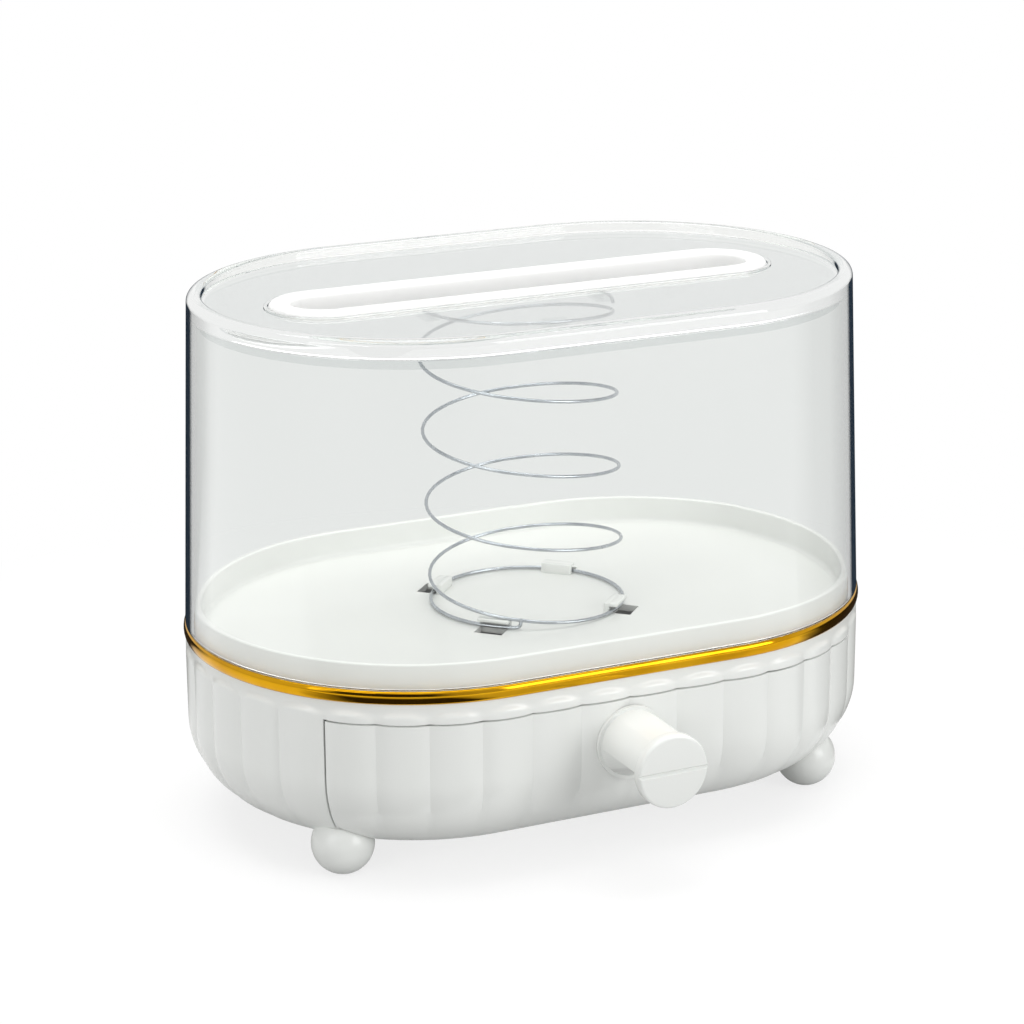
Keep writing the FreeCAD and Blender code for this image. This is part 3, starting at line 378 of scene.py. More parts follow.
white_abs = glossy_abs("white ABS, gloss moulded", "#E4E6E3", 0.24)
base_shell.data.materials.clear()
base_shell.data.materials.append(white_abs)
round_off(base_shell, 0.25 * MM, angle=48, segments=2)
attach(base_shell, "base")
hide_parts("base_shell")

# Rails, ribs, foot pads and deck posts inside the base. They are moulded with the shell:
# the rails guide the drawer box, the ribs carry it, and the posts take the deck's screws.


def add_block(mesh, low, high):
    """A block between two corners, measured from the middle of the plan in millimetres."""
    low, high = Vector(low) * MM, Vector(high) * MM
    size = high - low
    place = Matrix.Translation((low + high) / 2 + MIDDLE) @ Matrix.Diagonal((*size, 1.0))
    return bmesh.ops.create_cube(mesh, size=1.0, matrix=place)["verts"]


def add_column(mesh, place, radius, low, high, hole=0.0):
    """An upright round post, with a hole down it if a radius is given for one."""
    foot = Matrix.Translation(Vector((*place, low)) * MM + MIDDLE)
    made = []
    for size in ([radius, hole] if hole else [radius]):
        ring = bmesh.ops.create_circle(mesh, cap_ends=False, segments=32, radius=size * MM, matrix=foot)
        made.append(list({edge for vert in ring["verts"] for edge in vert.link_edges}))
    if not hole:
        bmesh.ops.contextual_create(mesh, geom=made[0])
        bottom = [face for face in mesh.faces if set(face.edges) <= set(made[0])]
    else:
        bottom = bmesh.ops.bridge_loops(mesh, edges=made[0] + made[1])["faces"]
    block = bmesh.ops.extrude_face_region(mesh, geom=bottom)["geom"]
    top = verts_in(block)
    bmesh.ops.translate(mesh, vec=(0, 0, (high - low) * MM), verts=top)


mesh = bmesh.new()
for side in (-1, 1):
    rail = sorted((side * 70.4, side * 72.4))
    add_block(mesh, (rail[0], -33, 11.0), (rail[1], 46, 21.6))
    rib = sorted((side * 49.0, side * 51.0))
    add_block(mesh, (rib[0], -44, 11.0), (rib[1], 44, 12.6))
    for across in (-1, 1):
        add_column(mesh, (side * 90, across * 16), 4.0, 13.4, 52.0, hole=1.75)
        add_column(mesh, (side * 79.8, across * 40), 6.0, 13.2, 16.5, hole=1.75)
base_fittings = new_piece("base_rails_and_posts", mesh, white_abs)
round_off(base_fittings, 0.3 * MM)
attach(base_fittings, "base")

# Ball feet. Each is a ball of white ABS with a small flat below. It sits in the underside
# of the base, and a screw from inside the base holds it.
for foot, (x_at, y_at) in FOOT_PLACES.items():
    mesh = bmesh.new()
    centre = Vector((x_at, y_at, FOOT_MIDDLE)) + MIDDLE
    bmesh.ops.create_uvsphere(mesh, u_segments=64, v_segments=40, radius=FOOT_RADIUS,
                              matrix=Matrix.Translation(centre))
    for height, side in ((0.0, -1), (16.2 * MM, 1)):
        cut = bmesh.ops.bisect_plane(mesh, geom=mesh.verts[:] + mesh.edges[:] + mesh.faces[:], dist=1e-7,
                                     plane_co=(0, 0, height), plane_no=(0, 0, side), clear_outer=True)
        edges = edges_in(cut["geom_cut"])
        bmesh.ops.contextual_create(mesh, geom=edges)
    ball = new_piece("ball_" + foot, mesh, white_abs)
    round_off(ball, 0.25 * MM, angle=20, sharp=40)
    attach(ball, "base")
    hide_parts(foot)

# Plated band. A thin ring of ABS with a bright gold plating, pressed down on the rim of the
# base. The plating is a mirror with the slight waviness of the plastic under it.
BAND_TOP = 63.5 * MM
BAND_RADIUS = 72.8 * MM
BAND_INNER = 69.4 * MM
BAND_CROWN = 4.0 * MM


def bright_gold(name):
    material, tree = new_material(name)
    place = add_node(tree, "ShaderNodeTexCoord").outputs["Object"]
    patches = add_node(tree, "ShaderNodeTexNoise", {"Vector": place, "Scale": 1 / (18 * MM), "Detail": 3.0})
    tone = add_node(tree, "ShaderNodeValToRGB", {"Fac": patches.outputs["Fac"]}, stops=[
        (0.35, hex_colour("#C08B0F")), (0.65, hex_colour("#D29E1B"))])
    gloss = add_node(tree, "ShaderNodeMapRange", {
        "Value": patches.outputs["Fac"], "From Min": 0.3, "From Max": 0.7, "To Min": 0.07, "To Max": 0.14})
    waves = add_node(tree, "ShaderNodeTexNoise", {"Vector": place, "Scale": 1 / (6 * MM), "Detail": 1.0})
    skin = add_node(tree, "ShaderNodeBump", {
        "Height": waves.outputs["Fac"], "Strength": 0.08, "Distance": 0.15 * MM})
    surface = add_node(tree, "ShaderNodeBsdfPrincipled", {
        "Base Color": tone.outputs["Color"], "Metallic": 1.0, "Roughness": gloss.outputs["Result"],
        "Normal": skin.outputs["Normal"]})
    add_node(tree, "ShaderNodeOutputMaterial", {"Surface": surface.outputs["BSDF"]})
    return material


mesh = bmesh.new()
band_section = [(BAND_INNER, BASE_TOP), (72.0 * MM, BASE_TOP)]
band_section += quarter(BAND_RADIUS - BAND_CROWN, (BASE_TOP + BAND_TOP) / 2, BAND_CROWN, -27, 27, 9)
band_section += [(72.0 * MM, BAND_TOP), (BAND_INNER, BAND_TOP)]
carry_round(mesh, band_section, STRAIGHT_HALF, BAND_RADIUS, smooth_stations(STRAIGHT_HALF, BAND_RADIUS, 72))
plated_band = settle(new_piece("gold_band", mesh, bright_gold("gold plating on ABS")), 40)
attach(plated_band, "base")
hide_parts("plated_band")

# Deck. A tray of white ABS with a raised rim that the cover slips over. Four hooks hold the
# spring's lower turn, and the mould leaves a square hole beneath each.
DECK_FLOOR = 62.5 * MM
DECK_UNDER = 60.5 * MM
RIM_RADIUS = 68.9 * MM
DECK_FLAT = 65.4 * MM
SPRING_RADIUS = 30.1
deck_section = quarter(DECK_FLAT, 64.0 * MM, 1.5 * MM, -90, 0, 5)
deck_section += quarter(67.5 * MM, 70.4 * MM, 0.6 * MM, 180, 90, 4)
deck_section += quarter(68.3 * MM, 70.4 * MM, 0.6 * MM, 90, 0, 4)
deck_section += [(68.9 * MM, 59.2 * MM), (69.7 * MM, 59.2 * MM), (69.7 * MM, 57.0 * MM)]
deck_section += [(66.9 * MM, 57.0 * MM), (66.9 * MM, DECK_UNDER), (DECK_FLAT, DECK_UNDER)]
mesh = bmesh.new()
deck_stations = smooth_stations(STRAIGHT_HALF, RIM_RADIUS, 64)
carry_round(mesh, deck_section, STRAIGHT_HALF, RIM_RADIUS, deck_stations, closed=False)
hole_rings = []
for k in range(4):
    turn = Matrix.Translation(MIDDLE) @ Matrix.Rotation(math.radians(45 + 90 * k), 4, "Z")
    corners = [(28.6, -4.5), (35.4, -4.5), (35.4, 4.5), (28.6, 4.5)]
    ring = [mesh.verts.new(turn @ Vector((out * MM, across * MM, DECK_FLOOR))) for out, across in corners]
    upper = [mesh.edges.new((ring[i], ring[(i + 1) % 4])) for i in range(4)]
    made = bmesh.ops.extrude_edge_only(mesh, edges=upper)["geom"]
    low = verts_in(made)
    bmesh.ops.translate(mesh, vec=(0, 0, DECK_UNDER - DECK_FLOOR), verts=low)
    lower = [edge for edge in edges_in(made) if set(edge.verts) <= set(low)]
    hole_rings.append((upper, lower))
for level, height in ((0, DECK_FLOOR), (1, DECK_UNDER)):
    outline = rim(mesh, STRAIGHT_HALF, DECK_FLAT, height)
    outline += [edge for rings in hole_rings for edge in rings[level]]
    bmesh.ops.triangle_fill(mesh, use_beauty=True, use_dissolve=False, edges=outline)
deck_tray = settle(new_piece("deck", mesh, white_abs), 35)
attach(deck_tray, "base")
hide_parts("deck_tray")

mesh = bmesh.new()
for k in range(4):
    turn = Matrix.Translation(MIDDLE) @ Matrix.Rotation(math.radians(45 + 90 * k), 4, "Z")
    turn = turn @ Matrix.Translation(-MIDDLE)
    made = add_block(mesh, (26.8, -5, 62.3), (28.6, 5, 65.7))
    made += add_block(mesh, (28.4, -5, 64.5), (31.3, 5, 65.7))
    bmesh.ops.transform(mesh, matrix=turn, verts=made)
for side in (-1, 1):
    for across in (-1, 1):
        add_column(mesh, (side * 90, across * 16), 4.0, 52.0, 60.6)
hooks = new_piece("deck_hooks_and_bosses", mesh, white_abs)
round_off(hooks, 0.35 * MM)
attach(hooks, "base")

# Lift spring. One soft coil of bright steel wire, wound with a flat turn at each end. Its
# lower end is bent up so that it doesn't catch, and the hooks of the deck hold that turn.
WIRE = 1.1
LOW_WIRE = 63.25
HIGH_WIRE = 156.65
LOW_TURN, ACTIVE_TURNS, HIGH_TURN, EASE_TURN = 0.8, 4.16, 0.78, 0.18
LEAN = 3.4
SPRING_START = 238
END_BEND, END_RISE = 1.4 * MM, 1.5 * MM


def coil_climb(turns):
    """Height of the wire above its lower flat turn."""
    full = HIGH_WIRE - LOW_WIRE
    slope = full / (ACTIVE_TURNS - EASE_TURN)
    if turns <= 0:
        return 0.0
    if turns < EASE_TURN:
        return slope * turns * turns / (2 * EASE_TURN)
    if turns < ACTIVE_TURNS - EASE_TURN:
        return slope * (turns - EASE_TURN / 2)
    return full - slope * max(0.0, ACTIVE_TURNS - turns) ** 2 / (2 * EASE_TURN)


def coil_point(turns):
    """Where the middle of the wire runs, this many turns from its lower end."""
    angle = math.radians(SPRING_START) - 2 * math.pi * turns
    rise = coil_climb(turns - LOW_TURN)
    aside = LEAN * rise / (HIGH_WIRE - LOW_WIRE)
    place = (SPRING_RADIUS * math.cos(angle) - aside, SPRING_RADIUS * math.sin(angle), LOW_WIRE + rise)
    return Vector(place) * MM + MIDDLE


def drawn_wire(name):
    """Bright drawn steel: a clean metal with a faint change of tone along the wire."""
    material, tree = new_material(name)
    place = add_node(tree, "ShaderNodeTexCoord").outputs["Object"]
    lines = add_node(tree, "ShaderNodeTexNoise", {"Vector": place, "Scale": 1 / (6 * MM), "Detail": 2.0})
    tone = add_node(tree, "ShaderNodeValToRGB", {"Fac": lines.outputs["Fac"]}, stops=[
        (0.3, hex_colour("#A6ABB1")), (0.7, hex_colour("#BCC0C5"))])
    gloss = add_node(tree, "ShaderNodeMapRange", {
        "Value": lines.outputs["Fac"], "From Min": 0.3, "From Max": 0.7, "To Min": 0.2, "To Max": 0.28})
    surface = add_node(tree, "ShaderNodeBsdfPrincipled", {
        "Base Color": tone.outputs["Color"], "Metallic": 1.0, "Roughness": gloss.outputs["Result"]})
    add_node(tree, "ShaderNodeOutputMaterial", {"Surface": surface.outputs["BSDF"]})
    return material


total = LOW_TURN + ACTIVE_TURNS + HIGH_TURN
steps = 300
wire_path = [coil_point(total * k / steps) for k in range(steps + 1)]
tip = wire_path[0]
back = (wire_path[0] - wire_path[1]).normalized()
turned_up = [tip + back * END_BEND * math.sin(a) + Vector((0, 0, END_BEND * (1 - math.cos(a))))
             for a in (math.pi / 2, math.pi / 3, math.pi / 6)]
wire_path = [turned_up[0] + Vector((0, 0, END_RISE))] + turned_up + wire_path


def wire_frame(k):
    """Where the wire's round section stands at a point of its path."""
    ahead = wire_path[min(k + 1, len(wire_path) - 1)] - wire_path[max(k - 1, 0)]
    ahead.normalize()
    out = wire_path[k] - MIDDLE
    out.z = 0
    aside = ahead.cross(out).normalized()
    out = aside.cross(ahead)
    turned = Matrix((out, aside, ahead)).transposed().to_4x4()
    return Matrix.Translation(wire_path[k]) @ turned


mesh = bmesh.new()
ring = bmesh.ops.create_circle(mesh, cap_ends=True, segments=12, radius=WIRE / 2 * MM, matrix=wire_frame(0))
edges = list({edge for vert in ring["verts"] for edge in vert.link_edges})
for k in range(1, len(wire_path)):
    made = bmesh.ops.extrude_edge_only(mesh, edges=edges)["geom"]
    points = verts_in(made)
    bmesh.ops.transform(mesh, matrix=wire_frame(k) @ wire_frame(k - 1).inverted(), verts=points)
    edges = [edge for edge in edges_in(made) if set(edge.verts) <= set(points)]
bmesh.ops.contextual_create(mesh, geom=edges)
lift_spring = settle(new_piece("coil_spring", mesh, drawn_wire("bright drawn spring wire")), 50)
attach(lift_spring, "base")
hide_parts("lift_spring")
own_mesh(lift_spring)

# Clear cover. Moulded in one piece from clear polystyrene with polished walls. The walls
# lean in, the top is sunk inside a rounded rim, and a long slot takes the bezel.
COVER_TOP = 166.5
TOP_PLATE = 163.5
CEILING = 161.0
COVER_RADIUS = 72.2
CEILING_RADIUS, RECESS_RADIUS = 64.4, 62.8
BEZEL_HALF = 66.0 * MM
BEZEL_RADIUS = 16.5 * MM
SLOT_RADIUS = 12.2
SEAT_OUTER, SEAT_INNER = 18.0, 16.8


def clear_styrene(name):
    """Clear plastic. Where the camera looks along an upright wall, a dark colour is painted in: a painted
    reflection standing for the dark edges of thick clear plastic.
    Light that has passed one wall goes straight on through the others, so few lines cross it, and a painted
    dark line runs along its outline for the camera alone.
    Reflected light that meets it again passes through with a faint grey: painted shade for the grey lines
    along the rim."""
    material, tree = new_material(name)
    place = add_node(tree, "ShaderNodeTexCoord").outputs["Object"]
    flow = add_node(tree, "ShaderNodeTexNoise", {"Vector": place, "Scale": 1 / (25 * MM), "Detail": 2.0})
    skin = add_node(tree, "ShaderNodeBump", {
        "Height": flow.outputs["Fac"], "Strength": 0.03, "Distance": 0.1 * MM})
    gloss = add_node(tree, "ShaderNodeMapRange", {
        "Value": flow.outputs["Fac"], "From Min": 0.3, "From Max": 0.7, "To Min": 0.0, "To Max": 0.015})
    body = add_node(tree, "ShaderNodeBsdfPrincipled", {
        "Base Color": hex_colour("#F9FAF8"), "Transmission Weight": 1.0, "IOR": 1.49,
        "Roughness": gloss.outputs["Result"], "Normal": skin.outputs["Normal"]})
    # Painted dark edge: a dark colour that the camera sees where it looks along an upright wall, in place of
    # a reflection.
    edge = add_node(tree, "ShaderNodeBsdfDiffuse", {"Color": hex_colour("#1E2B38")})
    glance = add_node(tree, "ShaderNodeLayerWeight", {"Blend": 0.5})
    painted_edge_ramp = add_node(tree, "ShaderNodeValToRGB", {"Fac": glance.outputs["Facing"]}, stops=[
        (0.56, (0.0, 0.0, 0.0, 1.0)), (0.62, (0.06, 0.06, 0.06, 1.0)), (0.77, (0.14, 0.14, 0.14, 1.0)),
        (0.82, (0.98, 0.98, 0.98, 1.0))])
    facing = add_node(tree, "ShaderNodeNewGeometry")
    up = add_node(tree, "ShaderNodeSeparateXYZ", {"Vector": facing.outputs["True Normal"]})
    level = add_node(tree, "ShaderNodeMath", {0: up.outputs["Z"]}, operation="ABSOLUTE")
    upright = add_node(tree, "ShaderNodeMapRange", {
        "Value": level.outputs["Value"], "From Min": 0.15, "From Max": 0.45, "To Min": 1.0, "To Max": 0.0})
    light = add_node(tree, "ShaderNodeLightPath")
    seen = add_node(tree, "ShaderNodeMath", {
        0: upright.outputs["Result"], 1: light.outputs["Is Camera Ray"]}, operation="MULTIPLY")
    dark = add_node(tree, "ShaderNodeMath", {
        0: painted_edge_ramp.outputs["Color"], 1: seen.outputs["Value"]}, operation="MULTIPLY")
    # Painted dark outline: darker still at the most grazing angles, for the camera alone.
    outline = add_node(tree, "ShaderNodeMapRange", {
        "Value": glance.outputs["Facing"], "From Min": 0.8, "From Max": 0.93, "To Min": 0.0, "To Max": 0.8})
    painted_outline_seen = add_node(tree, "ShaderNodeMath", {
        0: outline.outputs["Result"], 1: light.outputs["Is Camera Ray"]}, operation="MULTIPLY")
    painted_edge_shade = add_node(tree, "ShaderNodeMath", {
        0: dark.outputs["Value"], 1: painted_outline_seen.outputs["Value"]}, operation="MAXIMUM")
    solid = add_node(tree, "ShaderNodeMixShader", {
        "Fac": painted_edge_shade.outputs["Value"], 1: body.outputs["BSDF"], 2: edge.outputs["BSDF"]})
    deep = add_node(tree, "ShaderNodeMath", {0: light.outputs["Ray Depth"], 1: 1.5}, operation="GREATER_THAN")
    passing = add_node(tree, "ShaderNodeMath", {
        0: light.outputs["Is Shadow Ray"], 1: light.outputs["Is Diffuse Ray"]}, operation="MAXIMUM")
    straight_on = add_node(tree, "ShaderNodeMath", {
        0: passing.outputs["Value"], 1: deep.outputs["Value"]}, operation="MAXIMUM")
    # Painted shade: reflected light passing through is greyed a little, for the grey lines along the rim.
    painted_rim_grey = add_node(tree, "ShaderNodeValToRGB", {"Fac": light.outputs["Is Glossy Ray"]}, stops=[
        (0.0, hex_colour("#FDFDFD")), (1.0, hex_colour("#F6F7F7"))])
    let_through = add_node(tree, "ShaderNodeBsdfTransparent", {"Color": painted_rim_grey.outputs["Color"]})
    both = add_node(tree, "ShaderNodeMixShader", {
        "Fac": straight_on.outputs["Value"], 1: solid.outputs["Shader"], 2: let_through.outputs["BSDF"]})
    add_node(tree, "ShaderNodeOutputMaterial", {"Surface": both.outputs["Shader"]})
    return material


clear_plastic = clear_styrene("clear polystyrene, polished")


def in_metres(points):
    return [(out * MM, height * MM) for out, height in points]


def wall_at(height):
    """The cover's outer wall at a height: it leans in by 4 mm over its 103 mm."""
    return COVER_RADIUS - 4.0 * (height - 63.5) / 103.0


cover_section = [(CEILING_RADIUS, CEILING)]
cover_section += quarter(64.6, CEILING - 1.0, 1.0, 90, 2, 5)
cover_section += [(wall_at(63.9) - 2.8, 63.9), (wall_at(63.5) - 2.4, 63.5), (wall_at(63.5) - 0.4, 63.5)]
cover_section += [(wall_at(63.9), 63.9)]
cover_section += quarter(wall_at(164) - 2.5, 164.0, 2.5, 2, 90, 12)
cover_section += quarter(64.8, COVER_TOP - 1.0, 1.0, 90, 180, 6)
cover_section += quarter(RECESS_RADIUS, TOP_PLATE + 1.0, 1.0, 0, -90, 6)
mesh = bmesh.new()
carry_round(mesh, in_metres(cover_section), STRAIGHT_HALF, COVER_RADIUS * MM,
            smooth_stations(STRAIGHT_HALF, COVER_RADIUS * MM, 96), closed=False)
bezel_stations = smooth_stations(BEZEL_HALF, BEZEL_RADIUS, 32)
seat_rib = [(SEAT_OUTER, TOP_PLATE)] + quarter(17.7, TOP_PLATE + 0.5, 0.3, 0, 90, 3)
seat_rib += quarter(17.1, TOP_PLATE + 0.5, 0.3, 90, 180, 3) + [(SEAT_INNER, TOP_PLATE)]
carry_round(mesh, in_metres(seat_rib), BEZEL_HALF, BEZEL_RADIUS, bezel_stations, closed=False)
slot_wall = in_metres([(SLOT_RADIUS, TOP_PLATE), (SLOT_RADIUS, CEILING)])
carry_round(mesh, slot_wall, BEZEL_HALF, BEZEL_RADIUS, bezel_stations, closed=False)
for outline in (((STRAIGHT_HALF, RECESS_RADIUS, TOP_PLATE), (BEZEL_HALF, SEAT_OUTER, TOP_PLATE)),
                ((BEZEL_HALF, SEAT_INNER, TOP_PLATE), (BEZEL_HALF, SLOT_RADIUS, TOP_PLATE)),
                ((STRAIGHT_HALF, CEILING_RADIUS, CEILING), (BEZEL_HALF, SLOT_RADIUS, CEILING))):
    edges = [edge for half, out, height in outline for edge in rim(mesh, half, out * MM, height * MM)]
    bmesh.ops.triangle_fill(mesh, use_beauty=True, use_dissolve=False, edges=edges)
clear_cover = new_piece("cover", mesh, clear_plastic)
settle(clear_cover, 50)
weighted = clear_cover.modifiers.new("weighted", "WEIGHTED_NORMAL")
weighted.keep_sharp = True
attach(clear_cover, "cover")
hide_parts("clear_cover")

# Slot bezel. A white ABS ring with a rounded lip, pressed into the slot of the cover so
# that the tissue slides over a soft edge.
mesh = bmesh.new()
bezel_section = [(10.2, 159.8), (10.2, 164.2)] + quarter(11.7, 163.8, 1.5, 165, 90, 6)
bezel_section += quarter(14.7, 163.5, 1.8, 90, 0, 8) + [(12.0, TOP_PLATE), (12.0, 159.8)]
carry_round(mesh, in_metres(bezel_section), BEZEL_HALF, BEZEL_RADIUS, bezel_stations)
lip_white = glossy_abs("white ABS, thin and lit through", "#F4F4F2", 0.24)
shader = next(node for node in lip_white.node_tree.nodes if node.type == "BSDF_PRINCIPLED")
shader.inputs["Subsurface Weight"].default_value = 0.7
shader.inputs["Subsurface Radius"].default_value = (1.0, 1.0, 1.0)
shader.inputs["Subsurface Scale"].default_value = 6 * MM
slot_bezel = settle(new_piece("slot_lip", mesh, lip_white), 50)
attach(slot_bezel, "cover")
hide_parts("slot_bezel")

# Lift plate. A thin clear plate that the tissues lie on, with four small clips below that
# hold the spring's upper turn.
PLATE_RADIUS = 64.4 * MM
PLATE_FLAT = 63.4
PLATE_UNDER, PLATE_TOP = 157.4, 159.4
mesh = bmesh.new()
plate_section = [(PLATE_FLAT, PLATE_UNDER)] + quarter(64.0, 157.8, 0.4, -90, 0, 3)
plate_section += quarter(64.0, 159.0, 0.4, 0, 90, 3)
plate_section += [(PLATE_FLAT, PLATE_TOP)]
carry_round(mesh, in_metres(plate_section), STRAIGHT_HALF, PLATE_RADIUS,
            smooth_stations(STRAIGHT_HALF, PLATE_RADIUS, 64), closed=False)
for height in (PLATE_UNDER, PLATE_TOP):
    edge = rim(mesh, STRAIGHT_HALF, PLATE_FLAT * MM, height * MM)
    bmesh.ops.triangle_fill(mesh, use_beauty=True, use_dissolve=False, edges=edge)
lift_plate = settle(new_piece("tissue_plate", mesh, clear_plastic), 50)
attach(lift_plate, "plate")
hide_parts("lift_plate")

mesh = bmesh.new()
for k in range(4):
    turn = Matrix.Translation(MIDDLE - Vector((LEAN * MM, 0, 0)))
    turn = turn @ Matrix.Rotation(math.radians(90 * k), 4, "Z") @ Matrix.Translation(-MIDDLE)
    made = add_block(mesh, (26.8, -4, 154.2), (28.6, 4, 157.3))
    made += add_block(mesh, (28.4, -4, 154.2), (31.3, 4, 155.4))
    bmesh.ops.transform(mesh, matrix=turn, verts=made)
clips = new_piece("plate_clips", mesh, clear_plastic)
round_off(clips, 0.3 * MM)
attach(clips, "plate")

# Drawer front. The piece of fluted wall that closes the drawer. It is moulded on its own,
# with a small gap all round, and passes in front of the ball feet.
combine(drawer_front, front_region(FRONT_GAP / 2), "INTERSECT")
for foot, place in FOOT_PLACES.items():
    if "front" in foot:
        combine(drawer_front, foot_lane(place, FRONT_LANE, -1 * MM, 60 * MM), "DIFFERENCE")
        combine(drawer_front, ball_lane(place, BALL_LANE), "DIFFERENCE")
drawer_front.data.materials.clear()
drawer_front.data.materials.append(white_abs)
round_off(drawer_front, 0.25 * MM, angle=48, segments=2)
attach(drawer_front, "drawer")
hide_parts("drawer_front")

# Drawer box. An open box of white ABS that follows the rounding of the base. The front is
# screwed to it, and tabs on its sides stop it before it leaves the base.
BOX_INSET = 3.8 * MM
BOX_TOP = 50.0 * MM
BOX_HALF = 70.0 * MM
BOX_WALL = 1.8 * MM
mesh = bmesh.new()
box_stations = smooth_stations(STRAIGHT_HALF, BASE_RADIUS, 48)
box_section = [(BASE_RADIUS - BOX_INSET, BOX_TOP)]
box_section += quarter(BASE_RADIUS - BASE_ROUND, BASE_BOTTOM + BASE_ROUND, BASE_ROUND - BOX_INSET, 0, -90, 12)
carry_round(mesh, box_section, STRAIGHT_HALF, BASE_RADIUS, box_stations, closed=False)
bmesh.ops.triangle_fill(mesh, use_beauty=True, use_dissolve=False,
                        edges=rim(mesh, STRAIGHT_HALF, BASE_RADIUS - BASE_ROUND, BASE_BOTTOM + BOX_INSET))
for side in (-1, 1):
    cut = bmesh.ops.bisect_plane(mesh, geom=mesh.verts[:] + mesh.edges[:] + mesh.faces[:], dist=1e-7,
                                 plane_co=(side * BOX_HALF, 0, 0), plane_no=(side, 0, 0), clear_outer=True)
    edges = edges_in(cut["geom_cut"])
    ends = [vert for edge in edges for vert in edge.verts
            if len([other for other in vert.link_edges if other in edges]) == 1]
    ends.sort(key=lambda vert: vert.co.y)
    edges.append(mesh.edges.new((ends[0], ends[-1])))
    bmesh.ops.contextual_create(mesh, geom=edges)
bmesh.ops.recalc_face_normals(mesh, faces=mesh.faces[:])
inside = MIDDLE + Vector((0, 0, 40 * MM))
if sum(face.normal.dot(face.calc_center_median() - inside) for face in mesh.faces) < 0:
    bmesh.ops.reverse_faces(mesh, faces=mesh.faces[:])
bmesh.ops.solidify(mesh, geom=mesh.faces[:], thickness=BOX_WALL)
for side in (-1, 1):
    low, high = sorted((side * 70.0, side * 68.2))
    add_block(mesh, (low, 29.3, 49.0), (high, 35.3, 56.0))
drawer_box = new_piece("drawer_tray", mesh, white_abs)
round_off(drawer_box, 0.3 * MM, angle=50)
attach(drawer_box, "drawer")
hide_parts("drawer_box")

# Knob. A round knob of white ABS: a thin flange, a thick stem and a disc. It is hollowed out
# below for the fingers, and a fine groove crosses its face.
KNOB_HEIGHT = 39.4 * MM
KNOB_FOOT = -BASE_RADIUS
KNOB_REACH = 27.4


def turned_solid(profile, angle):
    """A solid turned about the knob's axis. The profile is (radius, distance out of the front)."""
    mesh = bmesh.new()
    places = [Vector((out * MM, KNOB_FOOT - reach * MM, KNOB_HEIGHT)) + MIDDLE for out, reach in profile]
    points = [mesh.verts.new(place) for place in places]
    edges = [mesh.edges.new(pair) for pair in zip(points, points[1:])]
    geometry = points + edges
    if angle < 2 * math.pi:
        edges.append(mesh.edges.new((points[-1], points[0])))
        geometry = points + edges + [mesh.faces.new(points)]
    centre = MIDDLE + Vector((0, 0, KNOB_HEIGHT))
    bmesh.ops.spin(mesh, geom=geometry, cent=centre, axis=(0, 1, 0), dvec=(0, 0, 0), angle=angle,
                   steps=96, use_merge=False, use_normal_flip=False, use_duplicate=False)
    bmesh.ops.remove_doubles(mesh, verts=mesh.verts[:], dist=0.001 * MM)
    return mesh


knob_profile = [(0.0, 0.0), (11.4, 0.0), (11.4, 1.2), (10.4, 1.2), (10.4, 23.8), (10.9, 23.8)]
knob_profile += quarter(10.9, 24.2, 0.4, -90, 0, 3)
knob_profile += quarter(10.3, KNOB_REACH - 1.0, 1.0, 0, 90, 5) + [(0.0, KNOB_REACH)]
drawer_knob = new_piece("round_knob", turned_solid(knob_profile, 2 * math.pi), white_abs)
recess_profile = [(6.8, 8.4), (10.4, 1.2), (12.3, 1.2), (12.3, 23.8), (6.8, 22.0)]
finger_recess = new_piece("finger_recess", turned_solid(recess_profile, math.pi))
combine(drawer_knob, finger_recess, "DIFFERENCE")
mesh = bmesh.new()
face_out = KNOB_FOOT / MM - KNOB_REACH
corners = [(-0.8, face_out - 0.1), (0.8, face_out - 0.1), (0.0, face_out + 0.9)]
ends = [Vector((-14, reach, KNOB_HEIGHT / MM + across)) * MM + MIDDLE for across, reach in corners]
end_face = mesh.faces.new([mesh.verts.new(corner) for corner in ends])
wedge = bmesh.ops.extrude_face_region(mesh, geom=[end_face])["geom"]
bmesh.ops.translate(mesh, vec=(28 * MM, 0, 0), verts=verts_in(wedge))
combine(drawer_knob, new_piece("face_groove", mesh), "DIFFERENCE")
round_off(drawer_knob, 0.3 * MM, angle=35, segments=2)
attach(drawer_knob, "drawer")
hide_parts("drawer_knob")


# Screws. Zinc plated steel: a soft bright metal with a faintly clouded plating.
def zinc_plate(name):
    material, tree = new_material(name)
    place = add_node(tree, "ShaderNodeTexCoord").outputs["Object"]
    clouds = add_node(tree, "ShaderNodeTexNoise", {"Vector": place, "Scale": 1 / (1.5 * MM), "Detail": 3.0})
    tone = add_node(tree, "ShaderNodeValToRGB", {"Fac": clouds.outputs["Fac"]}, stops=[
        (0.35, hex_colour("#A9AEB2")), (0.65, hex_colour("#C8CBCD"))])
    gloss = add_node(tree, "ShaderNodeMapRange", {
        "Value": clouds.outputs["Fac"], "From Min": 0.3, "From Max": 0.7, "To Min": 0.28, "To Max": 0.42})
    surface = add_node(tree, "ShaderNodeBsdfPrincipled", {
        "Base Color": tone.outputs["Color"], "Metallic": 1.0, "Roughness": gloss.outputs["Result"]})
    add_node(tree, "ShaderNodeOutputMaterial", {"Surface": surface.outputs["BSDF"]})
    return material


zinc = zinc_plate("zinc plated steel")
for screws in ("foot_screws", "deck_screws", "front_screws", "knob_screw"):
    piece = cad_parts[screws]
    piece.data.materials.clear()
    piece.data.materials.append(zinc)

# Studio. A plain white floor that runs out to a lit white sweep, so that it has no edge, and
# white air. Seen through the clear cover the sweep is a very light grey.
SWEEP_SEEN_THROUGH = 0.95


